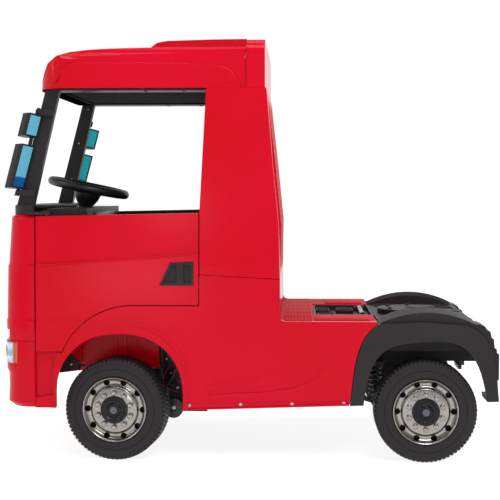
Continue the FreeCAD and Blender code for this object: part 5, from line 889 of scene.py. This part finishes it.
def cushion(name, node, length, width, thick, place):
    bm = bmesh.new()
    soft_block(bm, (-length * 0.5 + 0.004, -width * 0.5 + 0.004, 0.003),
               (length * 0.5 - 0.004, width * 0.5 - 0.004, thick - 0.005), 0.008)
    bm = stuffed(name + "_bag", bm)
    for vert in bm.verts:
        along = abs(vert.co.x) / (length * 0.5)
        across = abs(vert.co.y) / (width * 0.5)
        if vert.co.z > thick * 0.5:
            for y in CHANNELS_Y:
                near = max(0.0, 1.0 - abs(vert.co.y - y) / CHANNEL_WIDE)
                if along < CHANNEL_END_AT:
                    vert.co.z -= CHANNEL_DEEP * near * near * (3.0 - 2.0 * near)
            vert.co.z += CROWN_M * (1.0 - along ** 2) * (1.0 - across ** 2)
        vert.co.x *= 1.0 - WAIST_ALONG * (1.0 - across ** 2)
        vert.co.y *= 1.0 - WAIST_ACROSS * (1.0 - along ** 2)
        vert.co.z = max(vert.co.z, 0.0005)
    bm.transform(place)
    piece = make_piece(name, bm, leather, smooth_deg=60.0)
    finer = piece.modifiers.new("finer", "SUBSURF")
    finer.levels = 1
    finer.render_levels = 1
    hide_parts(node)
    seam = tube([place @ Vector((length * 0.5 * a, width * 0.5 * b, thick * SEAM_AT))
                 for a, b in SEAM_SHARES], PIPING_R)
    make_piece(name + "_piping", seam, leather)


base_low, base_high = map(Vector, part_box("seat_base"))
seat_w = base_high.y - base_low.y
cushion("seat_cushion", "seat_base", base_high.x - base_low.x, seat_w, base_high.z - base_low.z,
        moved_to(((base_low.x + base_high.x) * 0.5, 0.0, base_low.z)))
upright = (moved_to(BACK_LOW) @ Matrix.Rotation(radians(90.0 - BACK_LEAN_DEG), 4, "Y")
           @ moved_to((-BACK_LENGTH * 0.5, 0.0, 0.004)))
cushion("seat_back_cushion", "seat_back", BACK_LENGTH, seat_w, BACK_THICK, upright)

# The lamps: clear acrylic covers with a fine ripple over a bright reflector, an amber strip beside them
# and red tail lamps. A plated frame, cut from the cover's own outline, edges each headlamp, and plated
# rings with a bulb inside mark its lamps.

FRAME_W = 0.0034
FRAME_PROUD = 0.0008
SIDE_RING_X = 0.629
FRONT_RINGS_Y = (0.285, 0.24)
FRONT_RING_SIZE = 1.7
clear_cover = moulded("clear_acrylic_over_reflector", "#A9B6DA", "#E8EEF8", 0.1, 0.03, 60.0, 0.0006, 0.6)
dress(clear_cover, ("headlamps",))
amber_cover = moulded("amber_acrylic", "#B4461A", "#C85A26", 0.15, 0.03, 200.0, 0.0002, 0.5)
dress(amber_cover, ("turn_lamps",))
red_cover = moulded("red_acrylic", "#8E0710", "#A50C14", 0.15, 0.03, 200.0, 0.0002, 0.5)
dress(red_cover, ("tail_lamps",))
lamp_low, lamp_high = map(Vector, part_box("headlamps"))
frame_bm = bmesh.new()
for point, normal in (((0.0, 0.0, lamp_high.z - FRAME_W), (0.0, 0.0, 1.0)),
                      ((0.0, 0.0, lamp_low.z + FRAME_W), (0.0, 0.0, -1.0)),
                      ((lamp_low.x + FRAME_W, 0.0, 0.0), (-1.0, 0.0, 0.0))):
    strip = bmesh.new()
    strip.from_mesh(nodes["headlamps"].data)
    bmesh.ops.remove_doubles(strip, verts=strip.verts, dist=SAME_POINT_M)
    bmesh.ops.bisect_plane(strip, geom=strip.verts[:] + strip.edges[:] + strip.faces[:],
                           plane_co=point, plane_no=normal, clear_inner=True)
    bmesh.ops.holes_fill(strip, edges=[e for e in strip.edges if e.is_boundary])
    outward(strip).normal_update()
    for vert in strip.verts:
        vert.co += vert.normal * FRAME_PROUD
    take_all(frame_bm, strip)
make_piece("headlamp_frames", frame_bm, zinc, smooth_deg=25.0)
rings = bmesh.new()
ring = spun([(-0.0006, 0.007), (-0.0006, 0.0096), (0.0014, 0.0094), (0.002, 0.0084), (0.0012, 0.0074)], 36)
bulb = spun([(-0.0006, 0.0), (-0.0006, 0.004), (0.0008, 0.0038), (0.0018, 0.0026), (0.0021, 0.0)], 24)
lamp_z = (lamp_low.z + lamp_high.z) * 0.5
for origin, aim_at, size in [((SIDE_RING_X, 0.4, lamp_z), (0.0, -1.0, 0.0), 1.0)] + [
        ((0.75, y, lamp_z), (-1.0, 0.0, 0.0), FRONT_RING_SIZE) for y in FRONT_RINGS_Y]:
    found, spot, normal = nodes["headlamps"].ray_cast(Vector(origin), Vector(aim_at))[:3]
    if found:
        facing_out = Vector((0.0, 1.0, 0.0)).rotation_difference(normal).to_matrix().to_4x4()
        place = moved_to(spot) @ facing_out @ Matrix.Diagonal((size, 1.0, size, 1.0))
        take_in(rings, ring, place)
        take_in(rings, bulb, place)
ring.free()
bulb.free()
make_piece("headlamp_rings", both_sides(rings), zinc, smooth_deg=40.0)

# The screens behind the grille's slots and the bumper's opening: black nets of square bars, moulded in
# one piece and clipped in from behind. A plain black plate closes the bumper's opening behind its net.

NET_PITCH = 0.011
NET_BAR = 0.0018
NET_T = 0.0016
NET_BOW = 0.017
NOSE_HALF_W = 0.265
GRILLE_SLOTS = 5
SLOT_PITCH = 0.0364


def net(low_y, high_y, low_z, high_z, x_middle):
    bm = bmesh.new()
    bmesh.ops.create_grid(bm, x_segments=round((high_y - low_y) / NET_PITCH),
                          y_segments=round((high_z - low_z) / NET_PITCH), size=0.5)
    bmesh.ops.scale(bm, vec=(high_y - low_y, high_z - low_z, 1.0), verts=bm.verts)
    cells = list(bm.faces)
    bmesh.ops.inset_individual(bm, faces=cells, thickness=NET_BAR * 0.5, depth=0.0,
                                use_even_offset=True)
    bmesh.ops.delete(bm, geom=cells, context="FACES_ONLY")
    for vert in bm.verts:
        y = vert.co.x + (low_y + high_y) * 0.5
        z = vert.co.y + (low_z + high_z) * 0.5
        vert.co = Vector((x_middle - NET_BOW * (y / NOSE_HALF_W) ** 2, y, z))
    bmesh.ops.solidify(bm, geom=list(bm.faces), thickness=NET_T)
    return outward(bm)


nets = net(-0.149, 0.149, 0.173, 0.245, 0.642)
for n in range(GRILLE_SLOTS):
    slot_low = 0.404 + SLOT_PITCH * n
    take_all(nets, net(-0.198, 0.198, slot_low, slot_low + 0.0264, 0.6375))
soft_block(nets, (0.6225, -0.192, 0.148), (0.6265, 0.192, 0.268), 0.001)
make_piece("grille_nets", nets, black_plastic)

# The mirror faces: film stuck to flat panels in the housings. Its colour is a painted reflection, a cold
# blue on the driver's side and a greener one on the far side, with a painted dark foot to the lower faces,
# and it glows a little though it is no lamp.

mirror_film_painted_reflection = new_material("mirror_film_painted_reflection_and_glow")
spot = add(mirror_film_painted_reflection, "ShaderNodeTexCoord")
axes = add(mirror_film_painted_reflection, "ShaderNodeSeparateXYZ", links=[("Vector", spot.outputs["Object"])])
ripple = add(mirror_film_painted_reflection, "ShaderNodeTexNoise", [("Scale", 9.0), ("Detail", 1.0)],
             [("Vector", spot.outputs["Object"])])
# painted reflection: the film's colour changes from one side to the other, bluer on one mirror and greener
# on the other
painted_reflection_side = add(mirror_film_painted_reflection, "ShaderNodeMapRange", [("From Min", -0.3), ("From Max", 0.3)],
              [("Value", axes.outputs["Y"])])
painted_reflection_blue = shade(mirror_film_painted_reflection, painted_reflection_side.outputs["Result"], "#22B6C6", "#62B6D2")
# painted reflection: the lower part of each face turns a darker blue, with a rippled edge
slant = add(mirror_film_painted_reflection, "ShaderNodeMath", [("operation", "MULTIPLY_ADD"), (1, 0.04)],
            [(0, ripple.outputs["Fac"]), (2, axes.outputs["Z"])])
painted_dark_foot_mask = add(mirror_film_painted_reflection, "ShaderNodeMapRange", [("From Min", 0.776), ("From Max", 0.772)],
           [("Value", slant.outputs["Value"])])
painted_reflection_colour = add(mirror_film_painted_reflection, "ShaderNodeMix", [("data_type", "RGBA")])
mirror_film_painted_reflection.node_tree.links.new(painted_dark_foot_mask.outputs["Result"], painted_reflection_colour.inputs[0])
mirror_film_painted_reflection.node_tree.links.new(painted_reflection_blue, painted_reflection_colour.inputs[6])
painted_reflection_colour.inputs[7].default_value = linear("#0F5594")
# the film glows in its own painted reflection colour, though it is no lamp
glowing_painted_reflection_film = add(mirror_film_painted_reflection, "ShaderNodeBsdfPrincipled", [("Metallic", 0.2), ("Roughness", 0.12),
                                              ("Emission Strength", 0.35)],
           [("Base Color", painted_reflection_colour.outputs[2]), ("Emission Color", painted_reflection_colour.outputs[2])])
finish_material(mirror_film_painted_reflection, glowing_painted_reflection_film)
dress(mirror_film_painted_reflection, ("mirror_faces",))

# The red deck behind the cab: a lattice of fine ribs across it next to the cab, and smooth raised pads
# on both sides of the tray. All of it is moulded in one with the deck.

DECK_Z = 0.3735
DECK_SUNK_Z = DECK_Z - 0.0006
RIBS_ACROSS = 9
FIRST_RIB_X = -0.101
RIB_PITCH = 0.0085
RIB_HALF_W = 0.0021
RIBS_ALONG_Y = (-0.314, -0.2, -0.1, 0.0, 0.1, 0.2, 0.314)
PAD_PROUD = 0.0022
lattice = bmesh.new()
for n in range(RIBS_ACROSS):
    x = FIRST_RIB_X - RIB_PITCH * n
    soft_block(lattice, (x - RIB_HALF_W, -0.312, DECK_SUNK_Z), (x + RIB_HALF_W, 0.312, DECK_Z + 0.002),
               0.0007)
for y in RIBS_ALONG_Y:
    soft_block(lattice, (-0.1715, y - 0.002, DECK_SUNK_Z), (-0.096, y + 0.002, DECK_Z + 0.0014), 0.0006)
soft_block(lattice, (-0.326, 0.166, DECK_SUNK_Z), (-0.179, 0.306, DECK_Z + PAD_PROUD), 0.0009)
soft_block(lattice, (-0.326, -0.306, DECK_SUNK_Z), (-0.216, -0.166, DECK_Z + PAD_PROUD), 0.0009)
make_piece("deck_lattice_and_pads", lattice, deck_plastic)

# The tray in the deck: three raised islands with hollows, and a turned latch pin that lies between two
# stops across its rear end. Islands and tray are one black moulding, and the pin is polished plastic.

TRAY_FLOOR_Z = 0.3575
ISLAND_RIM_W = 0.006
STOPS_TOP_Z = 0.3695
LATCH_PIN_AT = (-0.316, 0.0, 0.3665)


def island(bm, x0, x1, y0, y1, top, hollow):
    soft_block(bm, (x0, y0, TRAY_FLOOR_Z - 0.001), (x1, y1, top), 0.0015)
    lid = max((f for f in bm.faces if f.normal.z > 0.9 and x0 < f.calc_center_median().x < x1
               and y0 < f.calc_center_median().y < y1), key=lambda f: f.calc_area())
    bmesh.ops.inset_region(bm, faces=[lid], thickness=ISLAND_RIM_W, depth=0.0)
    bmesh.ops.translate(bm, vec=(0.0, 0.0, -hollow), verts=lid.verts)


islands = bmesh.new()
island(islands, -0.226, -0.188, -0.128, -0.026, 0.367, 0.007)
island(islands, -0.296, -0.246, -0.128, -0.036, 0.367, 0.007)
island(islands, -0.24, -0.19, 0.01, 0.126, 0.365, 0.005)
for y in (-0.134, 0.092):
    soft_block(islands, (-0.331, y, TRAY_FLOOR_Z - 0.001), (-0.3, y + 0.022, STOPS_TOP_Z), 0.002)
make_piece("tray_islands", islands, black_plastic)
pin = spun([(-0.112, 0.0), (-0.112, 0.006), (-0.109, 0.0078), (-0.06, 0.0078), (-0.058, 0.0062),
            (-0.048, 0.0062), (-0.046, 0.0078), (0.089, 0.0078), (0.092, 0.006), (0.092, 0.0)], 40)
pin.transform(moved_to(LATCH_PIN_AT))
make_piece("latch_pin", pin, cap_plastic, smooth_deg=30.0)

# The coupling: a ridged black deck with three bent guides on each side of a round dish. The dish has
# four screw bosses and a ramp on each side of its throat, as one moulding with the deck.

PLATE_Z = 0.3655
DISH_X, DISH_Z = -0.455, 0.3795
GUIDE_RUNS = (((-0.362, 0.215), (-0.378, 0.228), (-0.398, 0.234), (-0.43, 0.222), (-0.452, 0.18),
               (-0.468, 0.12), (-0.474, 0.104)),
              ((-0.366, 0.16), (-0.4, 0.172), (-0.424, 0.15), (-0.43, 0.118), (-0.414, 0.104)),
              ((-0.5, 0.214), (-0.56, 0.214), (-0.59, 0.19), (-0.596, 0.12), (-0.596, 0.06)))
GUIDE_TUBE_R = 0.0032
TREADS = 7
TREAD_PITCH = 0.0135
BOSS_CIRCLE_R = 0.072
BOSSES_DEG = (35.0, 90.0, 325.0, 270.0)
guides = bmesh.new()
for run in GUIDE_RUNS:
    take_all(guides, tube([(x, y, PLATE_Z + 0.0002) for x, y in run], GUIDE_TUBE_R, 12))
for n in range(TREADS):
    y = 0.112 + TREAD_PITCH * n
    soft_block(guides, (-0.592, y - 0.0015, PLATE_Z - 0.001), (-0.486, y + 0.0015, PLATE_Z + 0.0018), 0.0006)
ramp = bmesh.ops.create_cube(guides, size=1.0)["verts"]
for vert in ramp:
    inner = vert.co.y < 0.0
    vert.co = Vector((-0.604 if vert.co.x < 0.0 else -0.528, 0.02 + (0.006 if inner else 0.046),
                      PLATE_Z + (0.006 if vert.co.z > 0.0 and vert.co.x > 0.0 else 0.0) + 0.002 * vert.co.z))
make_piece("coupling_guides", both_sides(guides), black_plastic)
fixings = bmesh.new()
for deg in BOSSES_DEG:
    x, y = DISH_X + BOSS_CIRCLE_R * cos(radians(deg)), BOSS_CIRCLE_R * sin(radians(deg))
    round_bar(fixings, 0.008, 0.007, 0.003, moved_to((x, y, DISH_Z + 0.001)), 28)
    round_bar(fixings, 0.004, 0.0034, 0.003, moved_to((x, y, DISH_Z + 0.0034)), 16)
make_piece("dish_bosses", fixings, black_plastic)
